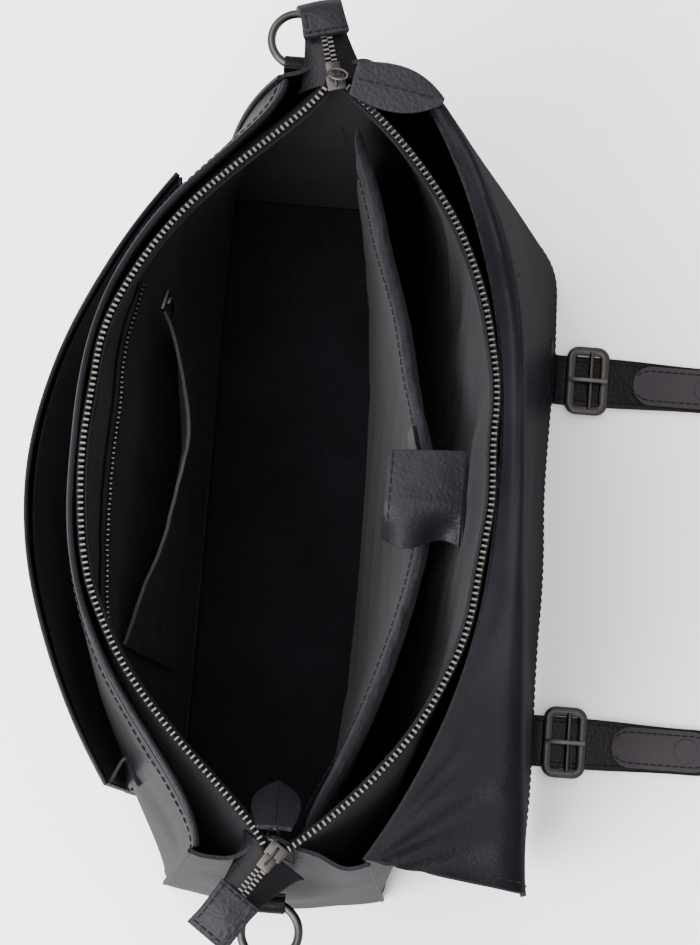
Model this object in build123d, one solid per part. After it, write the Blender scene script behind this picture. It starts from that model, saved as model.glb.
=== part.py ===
from build123d import *
import math
import os

os.makedirs("parts", exist_ok=True)

# The bag stands on its base. +X runs along the bag, -Y is its front, +Z is up.
# The origin is the centre of the underside. All lengths are in millimetres.

# Shell
base_length = 416.0
base_depth = 124.0
wall_height = 299.0
mouth_length = 376.0
front_corner_depth = 38.0
back_corner_depth = 42.0
front_reach = 112.0
back_reach = 96.0
base_bow = 2.0
gusset_bulge = 10.0
front_shoulder = 0.28
back_shoulder = 0.5
leather = 2.0
base_leather = 2.5
board_thickness = 2.5
gap = 0.3
rim_height = 5.0
rim_thickness = 3.6

# Lining
lining = 1.0
lining_inset = 4.0
lining_top = wall_height - 13.0
zip_half_length = 190.0
zip_front_reach = 104.6
zip_back_reach = 89.5
zip_corner = 3.2
lining_front_shoulder = 0.33
lining_back_shoulder = 0.62
end_lining_bulge = 0.5

# Main zip
tape_thickness = 0.6
tape_drop = 16.0
tape_top = wall_height - 3.2
chain_width = 2.8
chain_height = 5.0
chain_gap = 0.8
closed_length = 15.0
slider_length = 14.0
slider_width = 9.0
slider_plate = 1.4
slider_post = 1.0
puller_length = 52.0
puller_width = 24.0
puller_thickness = 2.2
puller_dip = 60.0
end_tab_length = 26.0
end_tab_width = 22.0
end_tab_thickness = 6.0
left_end_turn = 15.0
right_end_turn = 35.0

# Side rings
ring_radius = 14.0
ring_wire = 2.2
ring_height = wall_height - 49.0
ring_loop_width = 9.0
ring_loop_drop = 22.0
ring_loop_wall = 1.6
left_ring_shift = 22.0

# Front pocket
pocket_half_length = 160.0
pocket_floor = 24.0
pocket_top = 212.0
pocket_end_depth = 86.0
pocket_floor_reach = 98.0
pocket_reach = 143.0
pocket_shoulder = 0.45
snap_radius = 9.0
snap_height = 172.0
snap_thickness = 2.6

# Inside
inner_zip_half_length = 92.0
inner_zip_height = wall_height - 59.0
inner_zip_width = 5.0
slip_half_length = 88.0
slip_floor = 60.0
slip_top = 200.0
slip_reach = 30.0
divider_top = wall_height - 45.0
divider_thickness = 8.0
divider_end = 8.0
divider_reach = 61.0
divider_base_reach = 34.0
divider_base_end = 20.0
divider_shoulder = 0.0
tab_width = 48.0
tab_reach = 46.0
tab_thickness = 1.8
tab_centre = 8.0
hook_depth = 12.0
loop_height = 24.0
loop_half = 30.0

# Flap
flap_half_width = 196.0
flap_axis_y = 106.0
flap_axis_z = wall_height + 10.0
flap_slant = 7.5
flap_length = wall_height + 3.0
flap_fold = flap_length - 42.0
flap_thickness = 3.2
flap_corner = 34.0
root_thickness = 3.0
fold_gap = 1.0

# Flap straps
strap_offset = 109.0
strap_width = 30.0
strap_thickness = 2.5
strap_end = 258.0
patch_start = 192.0
patch_width = 24.0
patch_thickness = 1.2
magnet_radius = 8.0
magnet_thickness = 2.0
buckle_outer = 42.0
buckle_depth = 26.0
buckle_bar = 4.0
buckle_centre = 164.0
buckle_thickness = 3.2
buckle_lift = 0.4
prong_radius = 1.3
chape_length = 40.0

# Shoulder straps and handle
shoulder_offset = 84.0
shoulder_width = 42.0
shoulder_thickness = 4.0
shoulder_top = wall_height - 37.0
yoke_thickness = 2.5
webbing_width = 22.0
webbing_thickness = 2.0
anchor_offset = 168.0
adjuster_outer = 32.0
adjuster_depth = 18.0
handle_span = 92.0
handle_width = 18.0
handle_thickness = 5.0
handle_drop = 46.0
handle_top = wall_height - 19.0
foot_reach = 42.0
foot_turn = 16.0

# Values that follow from those above
base_top = base_leather + gap
levels = [base_top + (wall_height - base_top) * step / 6 for step in range(7)]
lining_bottom = base_top + board_thickness + gap + lining + gap
chain_bottom = tape_top + gap
chain_top = chain_bottom + chain_height
flap_angle = math.radians(flap_slant)


def save(shape, name):
    shape.label = name
    export_step(shape, f"parts/{name}.step")


def group(solids):
    return Compound(children=list(solids))


def mix(low, high, share):
    return low + (high - low) * share


def height_share(z):
    return min(1.0, max(0.0, (z - base_top) / (wall_height - base_top)))


def swell(z):
    return 1 - (1 - height_share(z)) ** 1.6


# A side is one long curve in plan: its half length, the depth of its ends,
# the depth of its middle, and how square its shoulders are.

def wall_side(z, sign):
    half = mix(base_length / 2, mouth_length / 2, height_share(z) ** 2)
    corner = front_corner_depth if sign < 0 else back_corner_depth
    reach = front_reach if sign < 0 else back_reach
    end = mix(base_depth / 2, corner, height_share(z) ** 1.5)
    middle = mix(base_depth / 2 + base_bow, reach, swell(z))
    return half, sign * end, sign * middle, front_shoulder if sign < 0 else back_shoulder


def lining_side(z, sign):
    half = mix(base_length / 2 - lining_inset, zip_half_length, height_share(z) ** 2)
    reach = zip_front_reach if sign < 0 else zip_back_reach
    end = mix(base_depth / 2 - lining_inset, zip_corner, height_share(z) ** 1.5)
    middle = mix(base_depth / 2 + base_bow - lining_inset, reach, swell(z))
    return half, sign * end, sign * middle, lining_front_shoulder if sign < 0 else lining_back_shoulder


def pocket_side(z, sign=-1):
    share = (z - pocket_floor) / (pocket_top - pocket_floor)
    middle = mix(pocket_floor_reach, pocket_reach, share ** 0.8)
    return pocket_half_length, sign * pocket_end_depth, sign * middle, pocket_shoulder


def divider_side(z, sign=1):
    share = (z - lining_bottom) / (divider_top - lining_bottom)
    half = lining_side(z, 1)[0] - 3.0
    end = mix(divider_base_end, divider_end, share)
    return half, end, mix(divider_base_reach, divider_reach, share), divider_shoulder


def side_curve(side, shift, z):
    half, end, middle, shoulder = side
    knee = end + (middle - end) * 4 / 3
    return Bezier(
        (-half, end + shift, z),
        (-shoulder * half, knee + shift, z),
        (shoulder * half, knee + shift, z),
        (half, end + shift, z),
    )


def depth_at(side, x):
    # Depth of a side's curve at a place along it.
    half, end, middle, shoulder = side
    low, high = 0.0, 1.0
    for _ in range(40):
        t = (low + high) / 2
        place = half * (t ** 3 - (1 - t) ** 3 + 3 * shoulder * (t ** 2 * (1 - t) - t * (1 - t) ** 2))
        low, high = (t, high) if place < x else (low, t)
    return end + (middle - end) * 4 * t * (1 - t)


def band_face(side, near, far, z):
    first = side_curve(side, near, z)
    second = side_curve(side, far, z)
    ends = [Line(first @ 0, second @ 0), Line(first @ 1, second @ 1)]
    return make_face([first, second] + ends)


def band(side_at, near, far, heights):
    return loft([band_face(side_at(z), near, far, z) for z in heights], ruled=True)


def between(low, high):
    return [low] + [z for z in levels if low + 5 < z < high - 5] + [high]


def slab(x, y, z):
    # A box given by its ranges.
    size = (x[1] - x[0], y[1] - y[0], z[1] - z[0])
    return Pos((x[0] + x[1]) / 2, (y[0] + y[1]) / 2, (z[0] + z[1]) / 2) * Box(*size)


def rounded(length, width, height, radius, z=0.0):
    return extrude(Pos(0, 0, z) * RectangleRounded(length, width, radius), height)


def frame_ring(outer, depth, bar, thickness):
    ring = rounded(outer, depth, thickness, bar)
    return ring - rounded(outer - 2 * bar, depth - 2 * bar, thickness, bar / 3)


# ---- Shell ----

def gusset(side_at, near, far, bulge_at, heights, sign, margin):
    # An end panel, bowed outward between the ends of the two long sides.
    faces = []
    for z in heights:
        half, front, _, _ = side_at(z, -1)
        back = side_at(z, 1)[1]
        bulge = bulge_at(z)
        middle = (front + back) / 2
        curves = []
        for shift in (near, far):
            start = Vector(sign * (half + shift), front - margin, z)
            end = Vector(sign * (half + shift), back + margin, z)
            crown = Vector(sign * (half + shift + bulge), middle, z)
            curves.append(ThreePointArc(start, crown, end))
        ends = [Line(curves[0] @ 0, curves[1] @ 0), Line(curves[0] @ 1, curves[1] @ 1)]
        faces.append(make_face(curves + ends))
    return loft(faces, ruled=True)


def wall_bulge(z):
    return gusset_bulge * (0.15 + 0.85 * math.sin(math.pi * (0.08 + 0.7 * height_share(z))))


def flat_bulge(z):
    return end_lining_bulge


save(rounded(base_length + 2 * leather + 2, base_depth + 2 * base_bow + 2, base_leather, 12), "base_panel")
board_z = base_top
board_length = base_length - 2 * lining_inset - 2 * gap
board_depth = base_depth - 2 * lining_inset
save(rounded(board_length, board_depth, board_thickness, 6, board_z), "base_board")
base_lining_z = board_z + board_thickness + gap
save(rounded(board_length - 2, board_depth - 4, lining, 6, base_lining_z), "base_lining")

front_top = wall_height - rim_height
save(band(lambda z: wall_side(z, -1), 0, leather, between(base_top, front_top)), "front_panel")
save(band(lambda z: wall_side(z, 1), 0, -leather, between(base_top, wall_height)), "back_panel")
rim_spare = (rim_thickness - leather) / 2
rim_heights = [front_top + gap, wall_height]
save(band(lambda z: wall_side(z, -1), -rim_spare, leather + rim_spare, rim_heights), "front_rim")
gusset_heights = between(base_top, front_top)
for name, sign in (("left", -1), ("right", 1)):
    panel = gusset(wall_side, gap, gap + leather, wall_bulge, gusset_heights, sign, 1.0)
    save(panel, f"{name}_gusset")


# ---- Lining ----

lining_heights = between(lining_bottom, lining_top)
save(band(lambda z: lining_side(z, -1), 0, lining, lining_heights), "front_lining")
save(band(lambda z: lining_side(z, 1), 0, -lining, lining_heights), "back_lining")
ends = [gusset(lining_side, gap, gap + lining, flat_bulge, lining_heights, sign, 0.0) for sign in (-1, 1)]
save(group(ends), "gusset_linings")


# ---- Front pocket ----

pocket_heights = [mix(pocket_floor, pocket_top, step / 4) for step in range(5)]
save(band(pocket_side, 0, leather, pocket_heights), "pocket_panel")
cloth_near = leather + gap
pocket_lining_heights = pocket_heights[:-1] + [pocket_top - 6]
save(band(pocket_side, cloth_near, cloth_near + lining, pocket_lining_heights), "pocket_lining")


def pocket_end(sign):
    inner = pocket_half_length - leather
    faces = []
    for z in pocket_heights[:-1] + [pocket_top - 4]:
        front = pocket_side(z)[1] + cloth_near + lining + 2.0
        back = depth_at(wall_side(z, -1), pocket_half_length) - 1.0
        points = [
            (sign * inner, front, z),
            (sign * pocket_half_length, front, z),
            (sign * pocket_half_length, back, z),
            (sign * inner, back, z),
        ]
        faces.append(make_face(Polyline(*points, close=True)))
    return loft(faces, ruled=True)


def pocket_floor_strip():
    z = pocket_floor - leather - gap
    front = side_curve(pocket_side(pocket_floor), 0, z)
    wall = wall_side(pocket_floor, -1)
    wall_end = depth_at(wall, pocket_half_length)
    back = side_curve((pocket_half_length, wall_end, wall[2], lining_front_shoulder), -1.5, z)
    ends = [Line(front @ 0, back @ 0), Line(front @ 1, back @ 1)]
    return extrude(make_face([front, back] + ends), leather)


save(group([pocket_end(-1), pocket_end(1), pocket_floor_strip()]), "pocket_gusset")


def snap_socket(x):
    heights = (snap_height - snap_radius, snap_height + snap_radius)
    places = (abs(x) - snap_radius, abs(x) + snap_radius)
    face = min(depth_at(pocket_side(z), place) for z in heights for place in places) - gap
    place = Pos(x, face - snap_thickness / 2, snap_height)
    return place * Rot(90, 0, 0) * Cylinder(snap_radius, snap_thickness)


save(group([snap_socket(-strap_offset), snap_socket(strap_offset)]), "snap_sockets")


# ---- Main zip ----

def zip_side(z, sign):
    reach = zip_front_reach if sign < 0 else zip_back_reach
    shoulder = lining_front_shoulder if sign < 0 else lining_back_shoulder
    return zip_half_length, sign * (chain_gap + chain_width), sign * (reach + chain_width), shoulder


for name, sign in (("front", -1), ("back", 1)):
    outward = sign * (gap + tape_thickness)
    tape = band(lambda z: zip_side(z, sign), sign * gap, outward, [tape_top - tape_drop + 7.0, tape_top])
    save(tape, f"{name}_zip_tape")
    chain = band(lambda z: zip_side(z, sign), 0, -sign * chain_width, [chain_bottom, chain_top])
    save(chain, f"{name}_zip_chain")


def end_place(sign):
    # Frame at one end of the mouth, with +X running out along the closed stretch.
    turn = 180 + left_end_turn if sign < 0 else -right_end_turn
    return Pos(sign * zip_half_length, 0, 0) * Rot(0, 0, turn)


def closed_stretch():
    # The two rows beyond the slider, with room for its post between them.
    start = slider_length / 2 + 1.5
    end = slider_length / 2 + closed_length
    row = slab((start, end), (chain_gap, chain_gap + chain_width), (chain_bottom, chain_top))
    return [row, mirror(row, Plane.XZ)]


def end_tab():
    start = slider_length / 2 + closed_length + gap
    low = chain_bottom - 1
    tab = slab((start, start + end_tab_length), (-end_tab_width / 2, end_tab_width / 2),
               (low, low + end_tab_thickness))
    return fillet(tab.edges().filter_by(Axis.Z), 3)


def slider():
    top = slab((-slider_length / 2, slider_length / 2), (-slider_width / 2, slider_width / 2),
               (chain_top + gap, chain_top + gap + slider_plate))
    post_start = slider_length / 2 - 3.5
    post = slab((post_start, post_start + 2.5), (-slider_post / 2, slider_post / 2),
                (chain_bottom, chain_top + gap + slider_plate))
    return fillet(top.edges().filter_by(Axis.Z), 2.5) + post


def puller_outline():
    tip = Vector(puller_length, 0)
    root = puller_width * 0.16
    near = (puller_length * 0.3, puller_width * 0.75)
    far = (puller_length * 0.8, puller_width * 0.62)
    side = Bezier((0, root), near, far, tip)
    other = mirror(side, Plane.XZ)
    return make_face([side, other, Line(side @ 0, other @ 0)])


puller_z = chain_top + gap + slider_plate + gap
places = [end_place(-1), end_place(1)]
save(places[0] * slider(), "left_slider")
save(places[1] * slider(), "right_slider")
save(group([place * row for place in places for row in closed_stretch()]), "closed_zip_ends")
save(group([place * end_tab() for place in places]), "zip_end_tabs")

puller = extrude(puller_outline(), puller_thickness)
left_puller_place = Pos(-zip_half_length, 3.0, puller_z) * Rot(0, 0, 80)
save(left_puller_place * puller, "left_puller")
right_puller_x = zip_half_length - 9.5
right_puller_place = Pos(right_puller_x, 0, puller_z + 0.6) * Rot(0, 0, 180) * Rot(0, puller_dip, 0)
save(right_puller_place * puller, "right_puller")


# ---- Side rings ----

def gusset_face_x(z, y):
    # Outer face of an end panel, whose bow is an arc between the two long sides.
    half, front, _, _ = wall_side(z, -1)
    back = wall_side(z, 1)[1]
    bulge = wall_bulge(z)
    reach = (back - front) / 2
    radius = (reach ** 2 + bulge ** 2) / (2 * bulge)
    return half + gap + leather + bulge - radius + math.sqrt(radius ** 2 - (y - (front + back) / 2) ** 2)


loop_eye = ring_wire + 1.2
loop_radius = loop_eye + ring_loop_wall
loop_middle = (wall_side(ring_height, -1)[1] + wall_side(ring_height, 1)[1]) / 2


def loop_place(sign):
    # Centre of the eye of a loop, seen from the middle of the bag.
    y = loop_middle - left_ring_shift if sign < 0 else loop_middle
    low = ring_height - ring_loop_drop / 2
    face = max(gusset_face_x(low, y + side * ring_loop_width / 2) for side in (-1, 1))
    return face + loop_radius + 0.4, y


def ring_loop(sign):
    bore = Cylinder(loop_eye, ring_loop_width)
    patch = slab((-loop_radius, -loop_eye + 0.2), (-ring_loop_drop / 2, ring_loop_drop / 2),
                 (-ring_loop_width / 2, ring_loop_width / 2))
    loop = Rot(90, 0, 0) * (Cylinder(loop_radius, ring_loop_width) + patch - bore)
    x, y = loop_place(sign)
    loop = Pos(x, y, ring_height) * loop
    return loop if sign > 0 else mirror(loop, Plane.YZ)


def side_ring(sign):
    x, y = loop_place(sign)
    return Pos(sign * (x + ring_radius), y, ring_height) * Torus(ring_radius, ring_wire)


save(side_ring(-1), "left_ring")
save(side_ring(1), "right_ring")
save(group([ring_loop(-1), ring_loop(1)]), "ring_loops")


# ---- Inside ----

def part_of_lining(z, half):
    side = lining_side(z, -1)
    return half, depth_at(side, half), side[2], lining_front_shoulder


def inner_zip_side(z):
    return part_of_lining(z, inner_zip_half_length)


zip_low = inner_zip_height - inner_zip_width / 2
zip_high = inner_zip_height + inner_zip_width / 2
inner_gap = lining + gap + 1.0
save(band(inner_zip_side, inner_gap, inner_gap + 1.2, [zip_low, zip_high]), "inner_zip_chain")
slider_depth = depth_at(lining_side(inner_zip_height, -1), inner_zip_half_length) + inner_gap + 1.8
inner_zip_line = lining_side(inner_zip_height, -1)
inner_zip_near = inner_zip_half_length - 12.0
inner_zip_rise = depth_at(inner_zip_line, inner_zip_near) - depth_at(inner_zip_line, inner_zip_half_length)
inner_turn = math.degrees(math.atan2(inner_zip_rise, inner_zip_half_length - inner_zip_near))
slider_middle = Pos(-inner_zip_half_length + 7, slider_depth + 1.2, inner_zip_height)
save(slider_middle * Rot(0, 0, inner_turn) * Box(10, 2.4, 8), "inner_slider")


def slip_side(z):
    half, end, middle, shoulder = part_of_lining(z, slip_half_length)
    reach = slip_reach * (z - slip_floor) / (slip_top - slip_floor)
    return half, end + inner_gap, middle + inner_gap + reach, shoulder


slip_heights = [mix(slip_floor, slip_top, step / 3) for step in range(4)]
save(band(slip_side, 0, lining, slip_heights), "slip_pocket")

divider_heights = [mix(lining_bottom + gap, divider_top, step / 4) for step in range(5)]
save(band(divider_side, 0, divider_thickness, divider_heights), "laptop_divider")

tab_back = depth_at(lining_side(divider_top + 6, 1), tab_centre) - lining - 1.2
tab_z = divider_top + 4.0
tab_low_x = tab_centre - tab_width / 2
tab_high_x = tab_centre + tab_width / 2
tab_shape = slab((tab_low_x, tab_high_x), (tab_back - tab_reach, tab_back), (tab_z, tab_z + tab_thickness))
save(fillet(tab_shape.edges().filter_by(Axis.Z), 4), "divider_tab")
hook_start = tab_back - tab_reach + 2
hook_side = (hook_start, hook_start + hook_depth)
hook = slab((tab_low_x + 3, tab_high_x - 3), hook_side, (tab_z - 1.3, tab_z - 0.1))
save(hook, "tab_hook_pad")
loop_z = divider_top - loop_height - 6.0


def loop_side(z):
    side = divider_side(z)
    return loop_half, depth_at(side, loop_half), side[2], lining_front_shoulder


save(band(loop_side, -0.6, -1.8, [loop_z, loop_z + loop_height]), "divider_loop_pad")


# ---- Flap ----

flap_frame = Pos(0, flap_axis_y, flap_axis_z) * Rot(flap_slant, 0, 0)
outer_face = (-flap_thickness / 2, -gap / 2)
inner_face = (gap / 2, flap_thickness / 2)
root_bottom = wall_height + gap
root_half = mouth_length / 2 - 2


def flap_piece(depth, start, end, round_ends):
    piece = slab((-flap_half_width, flap_half_width), depth, (-end, -start))
    if round_ends:
        corners = piece.edges().filter_by(Axis.Y).sort_by(Axis.Z)[:2]
        piece = fillet(corners, flap_corner)
    return flap_frame * piece


def flap_root():
    wall = wall_side(wall_height, 1)
    curve = side_curve((wall[0], wall[1] - leather, wall[2] - leather, wall[3]), 0, root_bottom)
    crest = flap_axis_y - 4.0
    left = Line(curve @ 0, (-wall[0], crest, root_bottom))
    right = Line(curve @ 1, (wall[0], crest, root_bottom))
    return extrude(make_face([curve, left, right, Line(left @ 1, right @ 1)]), root_thickness)


save(flap_root(), "flap_root")
save(flap_piece(outer_face, 4, flap_fold - fold_gap, False), "flap_upper")
save(flap_piece(inner_face, 4, flap_fold - fold_gap, False), "flap_upper_facing")
save(flap_piece(outer_face, flap_fold, flap_length, True), "flap_lower")
save(flap_piece(inner_face, flap_fold, flap_length, True), "flap_lower_facing")


# ---- Flap straps ----

flap_end_y = flap_axis_y + flap_length * math.sin(flap_angle)
flap_end_z = flap_axis_z - flap_length * math.cos(flap_angle)
strap_start = flap_end_y + 5.0
strap_top = gap + strap_thickness
for name, sign in (("left", -1), ("right", 1)):
    x = sign * strap_offset
    half = strap_width / 2
    chape_depth = (outer_face[0] - gap - leather, outer_face[0] - gap)
    chape = slab((x - half, x + half), chape_depth, (-flap_length, -flap_length + chape_length))
    save(flap_frame * chape, f"{name}_strap_chape")
    strap = slab((x - half, x + half), (strap_start, strap_end), (gap, strap_top))
    tip = strap.edges().filter_by(Axis.Z).sort_by(Axis.Y)[-2:]
    save(fillet(tip, half * 0.8), f"{name}_flap_strap")
    patch_z = strap_top + gap
    patch = slab((x - patch_width / 2, x + patch_width / 2), (patch_start, strap_end - 6),
                 (patch_z, patch_z + patch_thickness))
    save(fillet(patch.edges().filter_by(Axis.Z), patch_width * 0.4), f"{name}_strap_patch")
    magnet_y = strap_end - 22.0
    magnet_z = patch_z + patch_thickness + gap
    magnet = Pos(x, magnet_y, magnet_z + magnet_thickness / 2) * Cylinder(magnet_radius, magnet_thickness)
    save(magnet, f"{name}_strap_snap")
    buckle_z = strap_top + buckle_lift
    buckle = frame_ring(buckle_outer, buckle_depth, buckle_bar, buckle_thickness)
    save(Pos(x, buckle_centre, buckle_z) * buckle, f"{name}_buckle_frame")
    prong_z = buckle_z + buckle_thickness + prong_radius + 0.2
    prong = Pos(x, buckle_centre, prong_z) * Rot(90, 0, 0) * Cylinder(prong_radius, buckle_depth - 3)
    save(prong, f"{name}_buckle_prong")


# ---- Shoulder straps and handle ----

strap_foot_y = base_depth / 2 + base_bow + foot_reach


def shoulder_path():
    # Side view of the centre line, from under the flap down to the floor and outward.
    top_y = wall_side(shoulder_top, 1)[2] + 2.0 + shoulder_thickness / 2
    foot_z = gap + shoulder_thickness / 2
    bend_y = base_depth / 2 + base_bow + 16.0
    points = [(0, top_y, shoulder_top), (0, bend_y, foot_z), (0, strap_foot_y, foot_z)]
    return FilletPolyline(*points, radius=foot_turn)


def shoulder_strap(x):
    path = shoulder_path()
    start = Plane(path @ 0, x_dir=(1, 0, 0), z_dir=path % 0)
    return Pos(x, 0, 0) * sweep(start * Rectangle(shoulder_width, shoulder_thickness), path)


def lower_strap(sign):
    start = Vector(sign * (shoulder_offset + 14), strap_foot_y + 20.0)
    end = Vector(sign * (anchor_offset - 18), base_depth / 2 + base_bow + 20.0)
    run = end - start
    turn = math.degrees(math.atan2(run.Y, run.X))
    middle = (start + end) * 0.5
    strip = Rot(0, 0, turn) * Box(run.length, webbing_width, webbing_thickness)
    return Pos(middle.X, middle.Y, gap + webbing_thickness / 2) * strip


def strap_anchor(sign):
    low = base_depth / 2 + base_bow + 4.5
    middle = sign * anchor_offset
    anchor = slab((middle - 14, middle + 14), (low, low + 12), (gap, gap + 4))
    return fillet(anchor.edges().filter_by(Axis.Z), 3)


def adjuster(sign):
    ring = frame_ring(adjuster_outer, adjuster_depth, 3, 2.6)
    middle = strap_foot_y + 6 - adjuster_depth / 2
    return Pos(sign * shoulder_offset, middle, gap + shoulder_thickness + 0.5) * ring


save(shoulder_strap(-shoulder_offset), "left_shoulder_strap")
save(shoulder_strap(shoulder_offset), "right_shoulder_strap")
save(group([lower_strap(-1), lower_strap(1)]), "lower_straps")
save(group([strap_anchor(-1), strap_anchor(1)]), "strap_anchors")
save(group([adjuster(-1), adjuster(1)]), "adjuster_buckles")

yoke_z = (shoulder_top + 2, shoulder_top + 14)
yoke_y = wall_side(yoke_z[1], 1)[2] + 1.0
yoke_half = shoulder_offset + shoulder_width / 2
save(slab((-yoke_half, yoke_half), (yoke_y, yoke_y + yoke_thickness), yoke_z), "strap_yoke")


def handle():
    half = handle_span / 2
    corners = [(-half, 0, 0), (-half, 0, -handle_drop), (half, 0, -handle_drop), (half, 0, 0)]
    path = FilletPolyline(*corners, radius=20)
    section = Plane(path @ 0, x_dir=(1, 0, 0), z_dir=path % 0) * Rectangle(handle_width, handle_thickness)
    return sweep(section, path)


handle_y = yoke_y + yoke_thickness + 0.6 + handle_thickness / 2
save(Pos(0, handle_y, handle_top) * handle(), "carrying_handle")


def handle_anchor(x):
    back = wall_side(handle_top, 1)[2] + 1.0
    low = handle_top + gap
    return slab((x - 11, x + 11), (back, handle_y + handle_thickness / 2), (low, low + 10))


anchors = [handle_anchor(sign * handle_span / 2) for sign in (-1, 1)]
save(group(anchors), "handle_anchors")
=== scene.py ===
# Black leather satchel backpack, mouth open, flap thrown back over the rear.
import math
import bmesh
import bpy
from mathutils import Matrix, Vector, noise


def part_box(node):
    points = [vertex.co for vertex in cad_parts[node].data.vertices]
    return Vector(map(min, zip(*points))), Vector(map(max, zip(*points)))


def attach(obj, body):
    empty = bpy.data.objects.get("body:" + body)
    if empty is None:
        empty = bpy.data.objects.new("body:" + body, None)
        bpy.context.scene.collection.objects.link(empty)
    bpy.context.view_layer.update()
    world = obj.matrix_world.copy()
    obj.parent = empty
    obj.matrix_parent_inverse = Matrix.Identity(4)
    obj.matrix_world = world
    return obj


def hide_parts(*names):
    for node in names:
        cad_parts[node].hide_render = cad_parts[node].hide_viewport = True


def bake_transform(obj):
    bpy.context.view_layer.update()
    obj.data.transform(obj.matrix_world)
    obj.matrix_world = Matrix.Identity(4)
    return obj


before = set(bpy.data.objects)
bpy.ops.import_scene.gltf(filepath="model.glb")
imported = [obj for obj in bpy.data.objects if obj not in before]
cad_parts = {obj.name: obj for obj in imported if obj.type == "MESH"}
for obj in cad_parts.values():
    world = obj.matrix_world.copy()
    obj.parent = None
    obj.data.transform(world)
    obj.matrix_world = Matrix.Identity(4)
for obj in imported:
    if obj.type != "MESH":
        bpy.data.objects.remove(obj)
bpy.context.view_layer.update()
print("frame loaded")


# ---- small helpers ----

def mix(low, high, share):
    return low + (high - low) * share


def clamp(value, low=0.0, high=1.0):
    return max(low, min(high, value))


def ease(share):
    share = clamp(share)
    return share * share * (3 - 2 * share)


def hump(share):
    # from 0 up to 1 at the middle and back to 0
    return math.sin(math.pi * share)


def ripple(point, size, seed=0.0):
    # smooth random height, -1 to 1, with waves about this many metres long
    return noise.noise(Vector(point) / size + Vector((seed, seed * 1.7, seed * 0.6)))


def linearColour(code):
    # sRGB hex to linear
    parts = [int(code[start:start + 2], 16) / 255 for start in (1, 3, 5)]
    return [part / 12.92 if part <= 0.04045 else ((part + 0.055) / 1.055) ** 2.4 for part in parts] + [1.0]


def boxOf(node):
    low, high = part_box(node)
    return Vector(low), Vector(high)


def centreOf(node):
    low, high = boxOf(node)
    return (low + high) / 2


# ---- materials ----

def addNode(tree, kind, inputs=None, **settings):
    node = tree.nodes.new("ShaderNode" + kind)
    for key, value in settings.items():
        setattr(node, key, value)
    for key, value in (inputs or {}).items():
        if isinstance(value, bpy.types.NodeSocket):
            tree.links.new(value, node.inputs[key])
        else:
            node.inputs[key].default_value = value
    return node


def startMaterial(name, **fixed):
    material = bpy.data.materials.new(name)
    material.use_nodes = True
    tree = material.node_tree
    shader = tree.nodes["Principled BSDF"]
    for key, value in fixed.items():
        shader.inputs[key].default_value = value
    spot = addNode(tree, "TexCoord").outputs["Object"]
    return material, tree, shader, spot


def makeLeather(name, base, worn, grainSize, grainDepth, roughness, creaseSize=0.03, creaseDepth=0.0006,
                gloss=0.16):
    # full-grain cowhide, dyed through and waxed: pebble cells between fine valleys, long soft creases,
    # and a paler tone where the hide is rubbed or stretched
    material, tree, shader, spot = startMaterial(name, **{"Specular IOR Level": 0.0, "Coat Weight": gloss,
                                                  "Coat Roughness": roughness - 0.06, "Coat IOR": 1.5})
    warp = addNode(tree, "TexNoise", {"Vector": spot, "Scale": 0.5 / grainSize, "Detail": 2.0})
    bent = addNode(tree, "VectorMath", {0: warp.outputs["Color"], 3: grainSize * 0.9}, operation="SCALE")
    moved = addNode(tree, "VectorMath", {0: spot, 1: bent.outputs[0]}, operation="ADD")
    cells = addNode(tree, "TexVoronoi", {"Vector": moved.outputs[0], "Scale": 1 / grainSize},
                    feature="SMOOTH_F1")
    creases = addNode(tree, "TexNoise", {"Vector": spot, "Scale": 1 / creaseSize, "Detail": 5.0,
                      "Roughness": 0.55, "Distortion": 0.6}, noise_type="RIDGED_MULTIFRACTAL")
    clouds = addNode(tree, "TexNoise", {"Vector": spot, "Scale": 14.0, "Detail": 4.0})
    wear = addNode(tree, "MapRange", {"Value": creases.outputs["Fac"], "From Min": 0.9, "From Max": 1.9,
                   "To Min": 0.0, "To Max": 0.55})
    tint = addNode(tree, "Mix", {"Factor": wear.outputs["Result"], 6: linearColour(base),
                   7: linearColour(worn)}, data_type="RGBA")
    patchy = addNode(tree, "MapRange", {"Value": clouds.outputs["Fac"], "From Min": 0.35, "From Max": 0.7,
                     "To Min": 0.0, "To Max": 0.35})
    colour = addNode(tree, "Mix", {"Factor": patchy.outputs["Result"], 6: tint.outputs[2],
                     7: linearColour(worn)}, data_type="RGBA")
    tree.links.new(colour.outputs[2], shader.inputs["Base Color"])
    shine = addNode(tree, "MapRange", {"Value": clouds.outputs["Fac"], "From Min": 0.3, "From Max": 0.7,
                    "To Min": roughness - 0.06, "To Max": roughness + 0.1})
    tree.links.new(shine.outputs["Result"], shader.inputs["Roughness"])
    soft = addNode(tree, "Bump", {"Height": creases.outputs["Fac"], "Distance": creaseDepth,
                   "Strength": 0.6})
    fine = addNode(tree, "Bump", {"Height": cells.outputs["Distance"], "Distance": grainDepth,
                   "Strength": 0.7, "Normal": soft.outputs["Normal"]})
    tree.links.new(fine.outputs["Normal"], shader.inputs["Normal"])
    tree.links.new(fine.outputs["Normal"], shader.inputs["Coat Normal"])
    return material


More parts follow.
